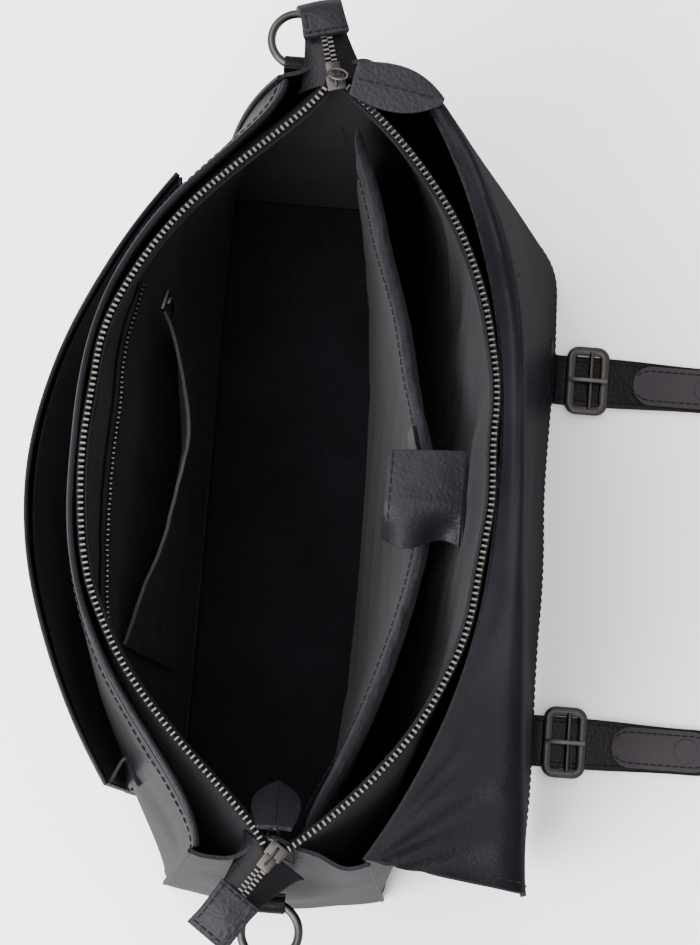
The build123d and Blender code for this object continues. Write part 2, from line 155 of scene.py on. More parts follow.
def makeCloth(name, dark, pale, thread, sheen, roughness=0.9):
    # plain-woven dyed cotton: uneven threads, no gloss, a faint bloom at grazing angles
    material, tree, shader, spot = startMaterial(name, **{"IOR": 1.45, "Sheen Weight": sheen,
                                                  "Sheen Roughness": 0.5, "Roughness": roughness,
                                                  "Specular IOR Level": 0.08})
    threads = addNode(tree, "TexVoronoi", {"Vector": spot, "Scale": 1 / thread, "Randomness": 0.6},
                      distance="MANHATTAN")
    fading = addNode(tree, "TexNoise", {"Vector": spot, "Scale": 22.0, "Detail": 6.0, "Roughness": 0.6})
    blend = addNode(tree, "Math", {0: threads.outputs["Distance"], 1: fading.outputs["Fac"]},
                    operation="MULTIPLY")
    colour = addNode(tree, "Mix", {"Factor": blend.outputs[0], 6: linearColour(dark),
                     7: linearColour(pale)}, data_type="RGBA")
    tree.links.new(colour.outputs[2], shader.inputs["Base Color"])
    slack = addNode(tree, "Bump", {"Height": fading.outputs["Fac"], "Distance": 0.0012, "Strength": 0.5})
    bump = addNode(tree, "Bump", {"Height": threads.outputs["Distance"], "Distance": 0.0003,
                   "Strength": 0.6, "Normal": slack.outputs["Normal"]})
    tree.links.new(bump.outputs["Normal"], shader.inputs["Normal"])
    return material


def makeMetal(name, code, roughness):
    # zinc casting with a dark nickel plate, tumbled, so the shine is soft and a little uneven
    fixed = {"Metallic": 1.0, "Base Color": linearColour(code)}
    material, tree, shader, spot = startMaterial(name, **fixed)
    scuffs = addNode(tree, "TexNoise", {"Vector": spot, "Scale": 700.0, "Detail": 3.0})
    spread = addNode(tree, "MapRange", {"Value": scuffs.outputs["Fac"], "To Min": roughness - 0.1,
                     "To Max": roughness + 0.15})
    tree.links.new(spread.outputs["Result"], shader.inputs["Roughness"])
    bump = addNode(tree, "Bump", {"Height": scuffs.outputs["Fac"], "Distance": 0.00005, "Strength": 0.4})
    tree.links.new(bump.outputs["Normal"], shader.inputs["Normal"])
    return material


def makeFloor(name, code):
    # seamless paper sweep
    fixed = {"Base Color": linearColour(code), "Roughness": 0.85}
    material, tree, shader, spot = startMaterial(name, **fixed)
    fibre = addNode(tree, "TexNoise", {"Vector": spot, "Scale": 400.0})
    bump = addNode(tree, "Bump", {"Height": fibre.outputs["Fac"], "Distance": 0.00005, "Strength": 0.2})
    tree.links.new(bump.outputs["Normal"], shader.inputs["Normal"])
    return material


# the hide's real grain is near 0.8 mm; it is drawn at 1.5 mm so that it shows
smoothLeather = makeLeather("WaxedCowhide", "#09090B", "#151418", 0.0015, 0.00022, 0.36)
flapLeather = makeLeather("SoftFlapCowhide", "#0D0D10", "#201F25", 0.0015, 0.00022, 0.40, gloss=0.06)
wornLeather = makeLeather("CreasedCowhide", "#0D0C10", "#2A292E", 0.0017, 0.00030, 0.40, 0.018, 0.0012)
pebbledLeather = makeLeather("PebbledCowhide", "#161519", "#2B2A2E", 0.0019, 0.00055, 0.46, 0.03, 0.0003)
patchLeather = makeLeather("BareSuedeSplit", "#2B262A", "#3E383C", 0.0016, 0.0002, 0.62)
edgePaint = makeLeather("EdgePaintedLeather", "#141317", "#302F34", 0.0012, 0.0001, 0.34, gloss=0.3)
liningCotton = makeCloth("BlackCottonDrill", "#0B090C", "#221F25", 0.0011, 0.03)
padCotton = makeCloth("BrushedBlackCotton", "#0D0B0F", "#26232A", 0.0012, 0.05)
tapeWeave = makeCloth("HerringboneZipTape", "#060607", "#131215", 0.0009, 0.03)
hookPile = makeCloth("HookAndLoopPile", "#030303", "#0E0D0F", 0.0016, 0.1, 1.0)
webWeave = makeCloth("RibbedWebbing", "#070708", "#141316", 0.0022, 0.05)
waxedThread = makeCloth("WaxedThread", "#08080A", "#1A191C", 0.0005, 0.02, 0.6)
darkNickel = makeMetal("DarkNickelPlate", "#3B3836", 0.36)
toothMetal = makeMetal("AgedZipMetal", "#5C5855", 0.36)
bindingTape = makeCloth("GreyBindingTape", "#2B292E", "#55525A", 0.0009, 0.05)
stiffBoard = makeCloth("BonnellBoard", "#0B0A0C", "#141316", 0.002, 0.02)
# the material slot that each visible material belongs to
slotGroups = {
    "black_leather": (smoothLeather, flapLeather, wornLeather, edgePaint, waxedThread),
    "grained_leather": (pebbledLeather,),
    "patch_leather": (patchLeather,),
    "cotton_lining": (liningCotton, bindingTape),
    "padded_lining": (padCotton,),
    "zip_tape": (tapeWeave,),
    "hook_and_loop": (hookPile,),
    "webbing": (webWeave,),
    "gunmetal": (darkNickel, toothMetal),
}
slotOf = {material.name: slot for slot, group in slotGroups.items() for material in group}
print("materials made")


# ---- mesh helpers ----

def place(name, bm, material, nodes=(), body="bag", slotName=None, corner=35.0, ride=True):
    # a finished mesh takes the place of its CAD nodes and, when it rides, goes on its body
    bmesh.ops.triangulate(bm, faces=[face for face in bm.faces if len(face.verts) > 4])
    mesh = bpy.data.meshes.new(name)
    bm.to_mesh(mesh)
    bm.free()
    mesh.polygons.foreach_set("use_smooth", [True] * len(mesh.polygons))
    mesh.set_sharp_from_angle(angle=math.radians(corner))
    piece = bpy.data.objects.new(name, mesh)
    bpy.context.scene.collection.objects.link(piece)
    mesh.materials.append(material)
    if ride:
        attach(piece, body)
    slotName or slotOf[material.name]
    if nodes:
        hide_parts(*nodes)
    return piece


def dress(materials):
    # CAD pieces that stay as they are and only get a material
    for node, material in materials.items():
        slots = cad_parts[node].data.materials
        slots.clear()
        slots.append(material)


def sheetMesh(columns, rows, where, thickness, rounding=0.0):
    # a flat grid laid onto a curved surface, then given its thickness about that surface
    bm = bmesh.new()
    bmesh.ops.create_grid(bm, x_segments=columns, y_segments=rows, size=0.5)
    for vert in bm.verts:
        vert.co = where(vert.co.x + 0.5, vert.co.y + 0.5)
    bm.normal_update()
    for vert in bm.verts:
        vert.co -= vert.normal * thickness / 2
    bmesh.ops.solidify(bm, geom=bm.faces[:], thickness=-thickness)
    bmesh.ops.recalc_face_normals(bm, faces=bm.faces)
    if rounding:
        rim = [edge for edge in bm.edges if len(edge.link_faces) == 2 and edge.calc_face_angle(0) > 1.0]
        bmesh.ops.bevel(bm, geom=rim, offset=rounding, offset_type="OFFSET", segments=2, profile=0.5,
                        affect="EDGES", material=-1, clamp_overlap=True)
    return bm


def blockMesh(size, rounding, segments=2, matrix=None):
    bm = bmesh.new()
    bmesh.ops.create_cube(bm, size=1.0)
    bmesh.ops.scale(bm, vec=size, verts=bm.verts)
    bmesh.ops.bevel(bm, geom=bm.edges[:], offset=rounding, offset_type="OFFSET", segments=segments,
                    profile=0.5, affect="EDGES", material=-1, clamp_overlap=True)
    if matrix:
        bmesh.ops.transform(bm, matrix=matrix, verts=bm.verts)
    return bm


def discMesh(low, high, tall, matrix):
    # a round disc with its own radius at each face
    bm = bmesh.new()
    bmesh.ops.create_cone(bm, cap_ends=True, segments=40, radius1=low, radius2=high, depth=tall)
    bmesh.ops.transform(bm, matrix=matrix, verts=bm.verts)
    return bm


def tubeMesh(points, radius, closed=False, sides=12, flat=1.0):
    # a round bar along a route, made by extruding one ring from point to point
    bm = bmesh.new()
    route = [Vector(point) for point in points]
    count = len(route)
    rings = []
    side = None
    for index, point in enumerate(route):
        before = route[index - 1] if closed or index else point
        after = route[(index + 1) % count] if closed or index < count - 1 else point
        along = (after - before).normalized()
        if side is None:
            side = along.orthogonal().normalized()
            if abs(along.z) < 0.9:
                side = along.cross(Vector((0, 0, 1))).normalized()
        side = (side - along * side.dot(along)).normalized()
        up = along.cross(side)
        ring = bmesh.ops.create_circle(bm, segments=sides, radius=1.0)["verts"]
        for vert in ring:
            vert.co = point + side * vert.co.x * radius + up * vert.co.y * radius * flat
        rings.append(ring)
    links = list(zip(rings, rings[1:])) + ([(rings[-1], rings[0])] if closed else [])
    for first, second in links:
        for step in range(sides):
            following = (step + 1) % sides
            bm.faces.new((first[step], first[following], second[following], second[step]))
    if not closed:
        bm.faces.new(list(reversed(rings[0])))
        bm.faces.new(rings[-1])
    bmesh.ops.recalc_face_normals(bm, faces=bm.faces)
    return bm


def joinMeshes(meshes):
    whole = bmesh.new()
    for bm in meshes:
        spare = bpy.data.meshes.new("spare")
        bm.to_mesh(spare)
        bm.free()
        whole.from_mesh(spare)
        bpy.data.meshes.remove(spare)
    return whole


def routeAlong(where, samples=240):
    # points of a curve and the distance to each
    points = [Vector(where(step / samples)) for step in range(samples + 1)]
    lengths = [0.0]
    for first, second in zip(points, points[1:]):
        lengths.append(lengths[-1] + (second - first).length)
    return points, lengths


def bentRoute(start, corner, finish, bend):
    # two straight runs joined by a curve, as a function of the distance along the first run and past it
    fall = (corner - start).length
    down = (corner - start).normalized()
    onward = (finish - corner).normalized()

    def where(distance):
        if distance < fall - bend:
            return start + down * distance
        if distance > fall + bend:
            return corner + onward * (distance - fall)
        share = (distance - fall + bend) / (2 * bend)
        first = corner - down * bend
        last = corner + onward * bend
        return first * (1 - share) ** 2 + corner * 2 * share * (1 - share) + last * share ** 2
    return where


def evenPlaces(where, pitch, start=0.0, stop=None, samples=400):
    # evenly spaced points of a curve with the direction at each
    points, lengths = routeAlong(where, samples)
    stop = lengths[-1] if stop is None else stop
    places = []
    index = 0
    distance = start
    while distance < stop:
        while index < samples - 1 and lengths[index + 1] < distance:
            index += 1
        span = lengths[index + 1] - lengths[index]
        share = (distance - lengths[index]) / span if span else 0.0
        along = (points[index + 1] - points[index]).normalized()
        places.append((points[index].lerp(points[index + 1], clamp(share)), along))
        distance += pitch
    return places


stitch = {"length": 0.0032, "pitch": 0.0044, "radius": 0.0004, "lift": 0.6, "dip": 0.8}


def stitchMesh(where, start=0.0, stop=None, up=Vector((0, 0, 1))):
    # one run of short thread stitches lying along a curve
    runs = []
    for point, along in evenPlaces(where, stitch["pitch"], start, stop):
        half = along * stitch["length"] / 2
        lift = up * stitch["radius"] * stitch["lift"]
        dip = lift * stitch["dip"]
        route = [point - half - dip, point - half * 0.5 + lift,
                 point + half * 0.5 + lift, point + half - dip]
        runs.append(tubeMesh(route, stitch["radius"], sides=5))
    return joinMeshes(runs)


# ---- where the leather and lining stand ----

frontLow, frontHigh = boxOf("front_panel")
backHigh = boxOf("back_panel")[1]
rimLow, rimHigh = boxOf("front_rim")
chainLow, chainHigh = boxOf("front_zip_chain")
rearChainHigh = boxOf("back_zip_chain")[1]
liningLow, liningHigh = boxOf("front_lining")

body = {
    "baseHalf": frontHigh.x - 0.001,
    "topHalf": rimHigh.x - 0.0006,
    "baseDepth": 0.062,
    "frontReach": -rimLow.y - 0.0008,
    "backReach": backHigh.y,
    "frontCorner": 0.037,
    "backCorner": 0.044,
    "floor": frontLow.z,
    "top": rimHigh.z,
    "leather": 0.002,
    "sag": 0.0025,
    "crumple": 0.0035,
    "dent": 0.001,
    "pinch": 0.012,
}


def outerPoint(u, share, side, outset=0.0):
    # u runs -1 to 1 along the wall, share runs 0 to 1 up it, outset moves out from the leather's outer face
    half = mix(body["baseHalf"], body["topHalf"], share ** 2) + outset * 0.3
    corner = mix(body["baseDepth"], body["frontCorner"] if side < 0 else body["backCorner"], share ** 1.5)
    if side < 0:
        corner -= body["pinch"] * share ** 3 * ease((-u - 0.55) / 0.45)
    reach = body["frontReach"] if side < 0 else body["backReach"]
    middle = mix(body["baseDepth"] + 0.002, reach, 1 - (1 - share) ** 1.6)
    power = mix(6.0, 2.8 if side < 0 else 2.3, share)
    slack = mix(1.0, 1.8 if side < 0 else 1.0, share)
    shape = (1 - abs(u) ** power) ** slack
    z = mix(body["floor"], body["top"], share)
    y = side * (corner + (middle - corner) * shape + outset)
    point = Vector((half * u, y, z))
    quiet = hump(clamp(share * 0.94 + 0.03)) * (1 - u ** 8)
    point.y += side * body["sag"] * quiet * ripple((point.x, side, point.z), 0.07, 3.0)
    # crumpled where the wall meets the right gusset, high up
    crumple = ease((u - 0.55) / 0.35) * (1 - u ** 16)
    crumple *= ease((share - 0.45) / 0.4) * (1 - ease((share - 0.93) / 0.05))
    fold = body["crumple"] * ripple((point.x, 0.0, point.z * 0.6), 0.022, 4.0) - body["dent"]
    point.y += side * crumple * fold
    return point


mouth = {
    "half": chainHigh.x,
    "front": -chainLow.y - 0.0014,
    "back": rearChainHigh.y - 0.0014,
    "corner": 0.0022,
    "z": (chainLow.z + chainHigh.z) / 2,
    "wander": 0.0016,
}


def mouthPoint(u, side, inset=0.0, z=None):
    # the zip's line round one side of the open mouth
    shape = (1 - abs(u) ** 2.8) ** (1.5 if side < 0 else 1.0)
    reach = mouth["front"] if side < 0 else mouth["back"]
    y = mouth["corner"] + (reach - mouth["corner"]) * shape
    y += mouth["wander"] * (1 - u * u) * ripple((u * 0.2, side * 2.0, 0.0), 0.035, 5.0)
    return Vector((mouth["half"] * u, side * (y - inset), mouth["z"] if z is None else z))


# ---- leather shell ----

shell = {"backTop": 0.985, "rimRadius": 0.0019, "rimFlat": 1.9, "rimOut": 0.0012, "rimDrop": 0.0026,
         "rimWaver": 0.0012, "rimStitch": 0.955, "threadOut": 0.0002}


def buildShell():
    frontTop = (rimLow.z - body["floor"]) / (body["top"] - body["floor"])

    def frontWall(u, v):
        return outerPoint(u * 2 - 1, v * frontTop, -1, -body["leather"] / 2)

    def backWall(u, v):
        return outerPoint(1 - u * 2, v * shell["backTop"], 1, -body["leather"] / 2)

    place("frontPanel", sheetMesh(110, 70, frontWall, body["leather"]), smoothLeather, ["front_panel"])
    place("backPanel", sheetMesh(90, 50, backWall, body["leather"]), smoothLeather, ["back_panel"])

    def rimCentre(t):
        point = outerPoint(t * 2 - 1, 1.0, -1, -shell["rimOut"])
        point.z -= shell["rimDrop"] - shell["rimWaver"] * ripple((t, 0, 0), 0.08, 9.0)
        return point

    rim = tubeMesh(routeAlong(rimCentre, 160)[0], shell["rimRadius"], sides=10, flat=shell["rimFlat"])
    place("frontRim", rim, wornLeather, ["front_rim"])

    def rimStitch(t):
        return outerPoint(t * 2 - 1, shell["rimStitch"], -1, shell["threadOut"])

    place("rimStitching", stitchMesh(rimStitch, up=Vector((0, -1, 0))), waxedThread)


gusset = {"bulge": 0.0095, "tuck": 0.016, "swell": -0.003, "top": rimLow.z, "out": 0.0012, "seamGap": 0.001,
          "wrinkle": 0.0022, "crease": 0.0016, "piping": 0.0013, "pipingOut": 0.0004}


def gussetPoint(u, v, side):
    # u runs from the front seam to the back seam, v up the panel
    share = v * (gusset["top"] - body["floor"]) / (body["top"] - body["floor"])
    half = mix(body["baseHalf"], body["topHalf"], share ** 2) + gusset["out"]
    pinch = body["pinch"] * share ** 3 if side < 0 else 0.0
    front = -mix(body["baseDepth"], body["frontCorner"], share ** 1.5) - gusset["seamGap"] + pinch
    back = mix(body["baseDepth"], body["backCorner"], share ** 1.5) + gusset["seamGap"]
    arch = hump(u)
    bulge = gusset["bulge"] * (0.3 + 0.7 * hump(0.08 + 0.7 * share))
    tuck = (gusset["tuck"] if side > 0 else gusset["swell"]) * ease((v - 0.72) / 0.28) * arch ** 3
    x = half + bulge * arch ** 0.7 - tuck
    y = mix(front, back, u)
    wrinkle = gusset["wrinkle"] * ripple((0.0, y, v * 0.3), 0.045, 7.0 + side) * arch
    wrinkle += gusset["crease"] * ease((v - 0.5) / 0.5) * math.sin(u * 19 + 3 * v) * arch
    return Vector((side * (x + wrinkle), y, mix(body["floor"], gusset["top"], v)))


def buildGussets():
    for label, side in (("left", -1), ("right", 1)):
        panel = sheetMesh(44, 80, lambda u, v: gussetPoint(u if side > 0 else 1 - u, v, side),
                          body["leather"])
        place(f"{label}Gusset", panel, wornLeather, [f"{label}_gusset"])
        for edge, name in ((0.0, "Front"), (1.0, "Back")):
            def seam(t):
                return gussetPoint(edge, t, side) + Vector((side * gusset["pipingOut"], 0, 0))
            piping = tubeMesh(routeAlong(seam, 60)[0], gusset["piping"], sides=8)
            place(f"{label}{name}Seam", piping, smoothLeather)


base = {"squareness": 14, "inset": 0.0012, "lift": 0.0006, "piping": 0.0015}


def buildBase():
    high = boxOf("base_panel")[1]
    dress({"base_panel": smoothLeather, "base_board": stiffBoard, "base_lining": liningCotton})

    def edge(t):
        # a rectangle with softly rounded corners, walked once round
        turn = t * 2 * math.pi
        power = base["squareness"]
        reach = 1 / (abs(math.cos(turn)) ** power + abs(math.sin(turn)) ** power) ** (1 / power)
        return Vector((math.cos(turn) * reach * (high.x - base["inset"]),
                       math.sin(turn) * reach * (high.y - base["inset"]), high.z + base["lift"]))

    piping = tubeMesh(routeAlong(edge, 220)[0][:-1], base["piping"], closed=True, sides=8)
    place("basePiping", piping, edgePaint)


buildShell()
buildGussets()
buildBase()
print("shell made")


# ---- lining ----

lining = {"baseHalf": liningHigh.x - 0.001, "baseDepth": 0.057, "floor": liningLow.z,
          "top": chainLow.z + 0.0012, "thickness": 0.001, "inset": 0.0022, "frontSlack": 0.0028,
          "backSlack": 0.0062, "tabPull": 0.004}


def liningPoint(u, v, side):
    # u runs -1 to 1 along the wall, v runs 0 to 1 up it
    half = mix(lining["baseHalf"], mouth["half"] - 0.0012, v ** 2)
    corner = mix(lining["baseDepth"], mouth["corner"] + 0.0002, v ** 1.5)
    reach = (mouth["front"] if side < 0 else mouth["back"]) - lining["inset"]
    middle = mix(lining["baseDepth"] + 0.002, reach, 1 - (1 - v) ** 1.6)
    power = mix(6.0, 2.8, v)
    slack = mix(1.0, 1.5 if side < 0 else 1.0, v ** 6)
    shape = (1 - abs(u) ** power) ** slack
    z = mix(lining["floor"], lining["top"], v)
    quiet = hump(clamp(v)) * (1 - abs(u) ** 6)
    fold = ripple((half * u + 0.45 * z, side, z * 0.22 - 0.1 * u), 0.030, 11.0) * 0.75
    fold += ripple((half * u + 0.6 * z, side, z * 0.3), 0.012, 13.0) * 0.25
    y = corner + (middle - corner) * shape
    depth = lining["backSlack"] if side > 0 else lining["frontSlack"]
    y += depth * quiet * (fold - 0.6)
    if side > 0:
        # drawn in where the tab is sewn on
        y -= lining["tabPull"] * math.exp(-((half * u - 0.008) / 0.03) ** 2 - ((z - 0.258) / 0.02) ** 2)
    edge = mouth["wander"] * (1 - u * u) * ripple((u * 0.2, side * 2.0, 0.0), 0.035, 5.0)
    return Vector((half * u, side * (y + edge * v), z))


def buildLining():
    walls = []
    for label, side in (("front", -1), ("back", 1)):
        wall = sheetMesh(150, 90, lambda u, v: liningPoint(side * (2 * u - 1), v, side),
                         lining["thickness"])
        walls.append(place(f"{label}Lining", wall, liningCotton, [f"{label}_lining"]))
    ends = []
    for side in (-1, 1):
        def where(u, v):
            front = liningPoint(side, v, -1)
            back = liningPoint(side, v, 1)
            point = front.lerp(back, u if side < 0 else 1 - u)
            point.x += side * (0.0008 - 0.003 * hump(u) * hump(v))
            return point
        ends.append(sheetMesh(30, 60, where, lining["thickness"]))
    place("endLinings", joinMeshes(ends), liningCotton, ["gusset_linings"])
    for piece, side in zip(walls, (-1, 1)):
        across = routeAlong(lambda t: liningPoint(2 * t - 1, 0.5, side), 60)[1][-1]
        upward = routeAlong(lambda t: liningPoint(0.0, t, side), 60)[1][-1]


buildLining()
print("lining made")


# ---- padded laptop divider ----

divider = {"top": boxOf("laptop_divider")[1].z, "floor": boxOf("laptop_divider")[0].z, "thickness": 0.0052,
           "half": 0.184, "spread": 0.012, "endTop": 0.011, "midTop": 0.0655, "endBase": 0.024,
           "midBase": 0.038, "wave": 0.003, "sink": 0.006, "voxel": 0.0042, "pressure": 3.0, "cap": 0.0016,
           "binding": 0.965, "bindingOut": 0.0048, "loopThickness": 0.0014}


def dividerPoint(u, v):
    # the top edge is drawn forward where the tab holds it and sinks away on both sides
    half = mix(divider["half"] + divider["spread"], divider["half"], v) * u
    end = mix(divider["endBase"], divider["endTop"], v)
    middle = mix(divider["midBase"], divider["midTop"], v)
    peaked = (1 - abs(u)) ** 1.05 if u < 0 else 1 - u ** 1.7
    full = 1 - abs(u) ** 2.4
    shape = mix(full, peaked, v * (0.75 if u < 0 else 1.0) * ease(abs(u) / 0.12))
    wave = divider["wave"] * ripple((half, 0.3, v * 0.12), 0.05, 21.0) * v
    y = end + (middle - end) * shape + wave
    dip = divider["sink"] * abs(u) ** 2 + divider["wave"] * ripple((half, 1.0, 0.0), 0.06, 23.0)
    return Vector((half, y, mix(divider["floor"] + 0.004, divider["top"] - divider["sink"] - dip, v)))


def swell(piece, voxel, pressure, cap):
    # fills the pad by cloth pressure, then limits how far any point has moved
    remesh = piece.modifiers.new("remesh", "REMESH")
    remesh.mode = "VOXEL"
    remesh.voxel_size = voxel
    graph = bpy.context.evaluated_depsgraph_get()
    mesh = bpy.data.meshes.new_from_object(piece.evaluated_get(graph))
    piece.modifiers.clear()
    old = piece.data
    mesh.materials.clear()
    mesh.materials.append(old.materials[0])
    piece.data = mesh
    rest = [vert.co.copy() for vert in mesh.vertices]
    cloth = piece.modifiers.new("cloth", "CLOTH")
    cloth.settings.use_pressure = True
    cloth.settings.uniform_pressure_force = pressure
    cloth.settings.effector_weights.gravity = 0
    cloth.settings.mass = 0.2
    cloth.point_cache.frame_start = 1
    cloth.point_cache.frame_end = 20
    for step in range(1, 21):
        bpy.context.scene.frame_set(step)
    graph = bpy.context.evaluated_depsgraph_get()
    puffed = bpy.data.meshes.new_from_object(piece.evaluated_get(graph))
    moved = [vert.co.copy() for vert in puffed.vertices]
    piece.modifiers.clear()
    bpy.context.scene.frame_set(1)
    for vert, before, after in zip(mesh.vertices, rest, moved):
        change = after - before
        if change.length > cap:
            change = change.normalized() * cap
        vert.co = before + change
    bm = bmesh.new()
    bm.from_mesh(mesh)
    bmesh.ops.smooth_vert(bm, verts=bm.verts, factor=0.5, use_axis_x=True, use_axis_y=True, use_axis_z=True)
    bmesh.ops.subdivide_edges(bm, edges=bm.edges[:], cuts=1, use_grid_fill=True, smooth=0.0)
    bmesh.ops.smooth_vert(bm, verts=bm.verts, factor=0.5, use_axis_x=True, use_axis_y=True, use_axis_z=True)
    bm.to_mesh(mesh)
    bm.free()
    mesh.polygons.foreach_set("use_smooth", [True] * len(mesh.polygons))


def buildDivider():
    flat = sheetMesh(120, 80, lambda u, v: dividerPoint(2 * u - 1, v), divider["thickness"])
    pad = place("laptopDivider", flat, padCotton, ["laptop_divider"])
    swell(pad, divider["voxel"], divider["pressure"], divider["cap"])

    def binding(t):
        return dividerPoint(2 * t - 1, divider["binding"]) - Vector((0, divider["bindingOut"], 0))
    place("dividerStitching", stitchMesh(binding, up=Vector((0, -1, 0))), waxedThread,
          slotName="padded_lining")
    loopLow, loopHigh = boxOf("divider_loop_pad")

    def loopPad(u, v):
        point = dividerPoint(mix(loopLow.x, loopHigh.x, u) / divider["half"],
                             mix(loopLow.z, loopHigh.z, v) / divider["top"])
        return point - Vector((0, divider["thickness"], 0))
    place("loopPad", sheetMesh(24, 10, loopPad, divider["loopThickness"]), hookPile, ["divider_loop_pad"])


buildDivider()
print("divider made")


# ---- hook-and-loop tab over the divider ----

tabParts = {"thickness": 0.0017, "bow": 0.0012, "curl": 0.011, "creep": 0.004, "narrowing": 0.1,
            "hookDrop": 0.0016, "hookThickness": 0.0012, "threadLift": 0.0009}


def buildTab():
    low, high = boxOf("divider_tab")
    middle = (low.x + high.x) / 2
    width = high.x - low.x

    def tab(u, v):
        # v runs from the back lining forward to the free end
        x = middle + (u - 0.5) * width * (1.02 - tabParts["narrowing"] * v)
        y = mix(high.y - 0.006, low.y + 0.001, v)
        # the right edge has curled down in a wave
        curl = ease((u - 0.55) / 0.45)
        wave = math.sin(v * 6.0 + 0.4)
        x -= tabParts["creep"] * curl * wave
        z = high.z + tabParts["bow"] * (hump(v) + ripple((x, y, 0.0), 0.02, 31.0))
        return Vector((x, y, z - tabParts["curl"] * curl * (0.55 + 0.45 * wave)))

    place("dividerTab", sheetMesh(40, 40, tab, tabParts["thickness"], 0.0003), wornLeather,
          ["divider_tab"], body="tab")

    def hook(u, v):
        return tab(mix(0.1, 0.92, u), mix(0.72, 0.97, v)) - Vector((0, 0, tabParts["hookDrop"]))
    place("hookPad", sheetMesh(20, 10, hook, tabParts["hookThickness"]), hookPile, ["tab_hook_pad"],
          body="tab")

    def border(t):
        return tab(0.06 + 0.88 * t, 0.94) + Vector((0, 0, tabParts["threadLift"]))
    place("tabStitching", stitchMesh(border), waxedThread, body="tab")


buildTab()


# ---- pockets inside the front lining ----

slipParts = {"thickness": 0.0009, "off": 0.0035, "lean": 0.030, "waver": 0.0012, "binding": 0.0009}
innerZip = {"pitch": 0.0026, "off": 0.0026, "toothOff": 0.0010, "tooth": (0.0013, 0.0018, 0.0046),
            "tapeWidth": 0.022, "tapeThickness": 0.0006}


def buildInnerPockets():
    low, high = boxOf("slip_pocket")
    zipLow, zipHigh = boxOf("inner_zip_chain")

    def shareAt(z):
        return (z - lining["floor"]) / (lining["top"] - lining["floor"])

    def slip(u, v):
        x = mix(low.x, high.x, u)
        z = mix(low.z, high.z, v)
        lean = slipParts["lean"] * v ** 1.3 * hump(clamp(u * 0.94 + 0.05)) ** 0.8 * (1.15 - 0.5 * u)
        point = liningPoint(x / lining["baseHalf"] * 1.03, shareAt(z), -1)
        waver = slipParts["waver"] * ripple((x, 0, z), 0.03, 41.0)
        return Vector((x, point.y + slipParts["off"] + lean + waver, z))

    patch = place("slipPocket", sheetMesh(70, 50, slip, slipParts["thickness"]), liningCotton,
                  ["slip_pocket"])
    across = routeAlong(lambda t: slip(t, 0.6), 60)[1][-1]
    edge = tubeMesh(routeAlong(lambda t: slip(t, 1.0), 90)[0], slipParts["binding"], sides=8)
    place("slipPocketBinding", edge, bindingTape)

    def zipLine(t, lift=0.0):
        x = mix(zipLow.x, zipHigh.x, t)
        z = (zipLow.z + zipHigh.z) / 2 + lift
        point = liningPoint(x / (lining["baseHalf"] - 0.008), shareAt(z), -1)
        return Vector((x, point.y + innerZip["off"], z))

    teeth = []
    for point, along in evenPlaces(zipLine, innerZip["pitch"]):
        at = Matrix.Translation(point + Vector((0, innerZip["toothOff"], 0)))
        turn = along.to_track_quat("X", "Z").to_matrix().to_4x4()
        teeth.append(blockMesh(innerZip["tooth"], 0.0003, 1, at @ turn))
    place("innerTeeth", joinMeshes(teeth), toothMetal, ["inner_zip_chain"])
    behind = Vector((0, innerZip["tapeThickness"], 0))
    tape = sheetMesh(90, 8, lambda u, v: zipLine(u, (v - 0.5) * innerZip["tapeWidth"]) - behind,
                     innerZip["tapeThickness"])
    place("innerTape", tape, tapeWeave)
    centre = centreOf("inner_slider")
    turn = (zipLine(0.1) - zipLine(0.0)).to_track_quat("X", "Z").to_matrix().to_4x4()
    # the runner's body, the bridge on it and the small pull that hangs from it
    bridge = Matrix.Translation(centre + Vector((0, 0.0022, 0)))
    pull = [centre + Vector(point) for point in ((-0.001, 0.0030, 0.001), (0.001, 0.0036, -0.006),
                                                 (0.003, 0.0030, -0.020))]
    runner = joinMeshes([
        blockMesh((0.011, 0.0026, 0.008), 0.001, 2, Matrix.Translation(centre) @ turn),
        blockMesh((0.004, 0.0022, 0.004), 0.0008, 2, bridge @ turn),
        tubeMesh(pull, 0.0012, sides=8, flat=0.6),
    ])
    place("innerSlider", runner, darkNickel, ["inner_slider"], body="inner_runner")


buildInnerPockets()
print("inside made")


# ---- main zip ----

zipParts = {"pitch": 0.0029, "toothLength": 0.0031, "toothWidth": 0.0014, "toothHeight": 0.0026,
            "start": 0.006, "cord": 0.0010, "cordOut": 0.0012, "tapeOut": 0.0013, "tapeDepth": 0.013,
            "tapeLean": 0.0009, "tapeThickness": 0.0006, "hem": 0.0008, "hemIn": 0.0026, "hemDrop": 0.0042,
            "leftTurn": math.radians(195.0), "rightTurn": math.radians(-35.0)}


def toothAt(point, along):
    # a tooth lies across the tape's edge
    turn = along.to_track_quat("X", "Z").to_matrix().to_4x4()
    size = (zipParts["toothWidth"], zipParts["toothLength"], zipParts["toothHeight"])
    return blockMesh(size, 0.00035, 1, Matrix.Translation(point) @ turn)


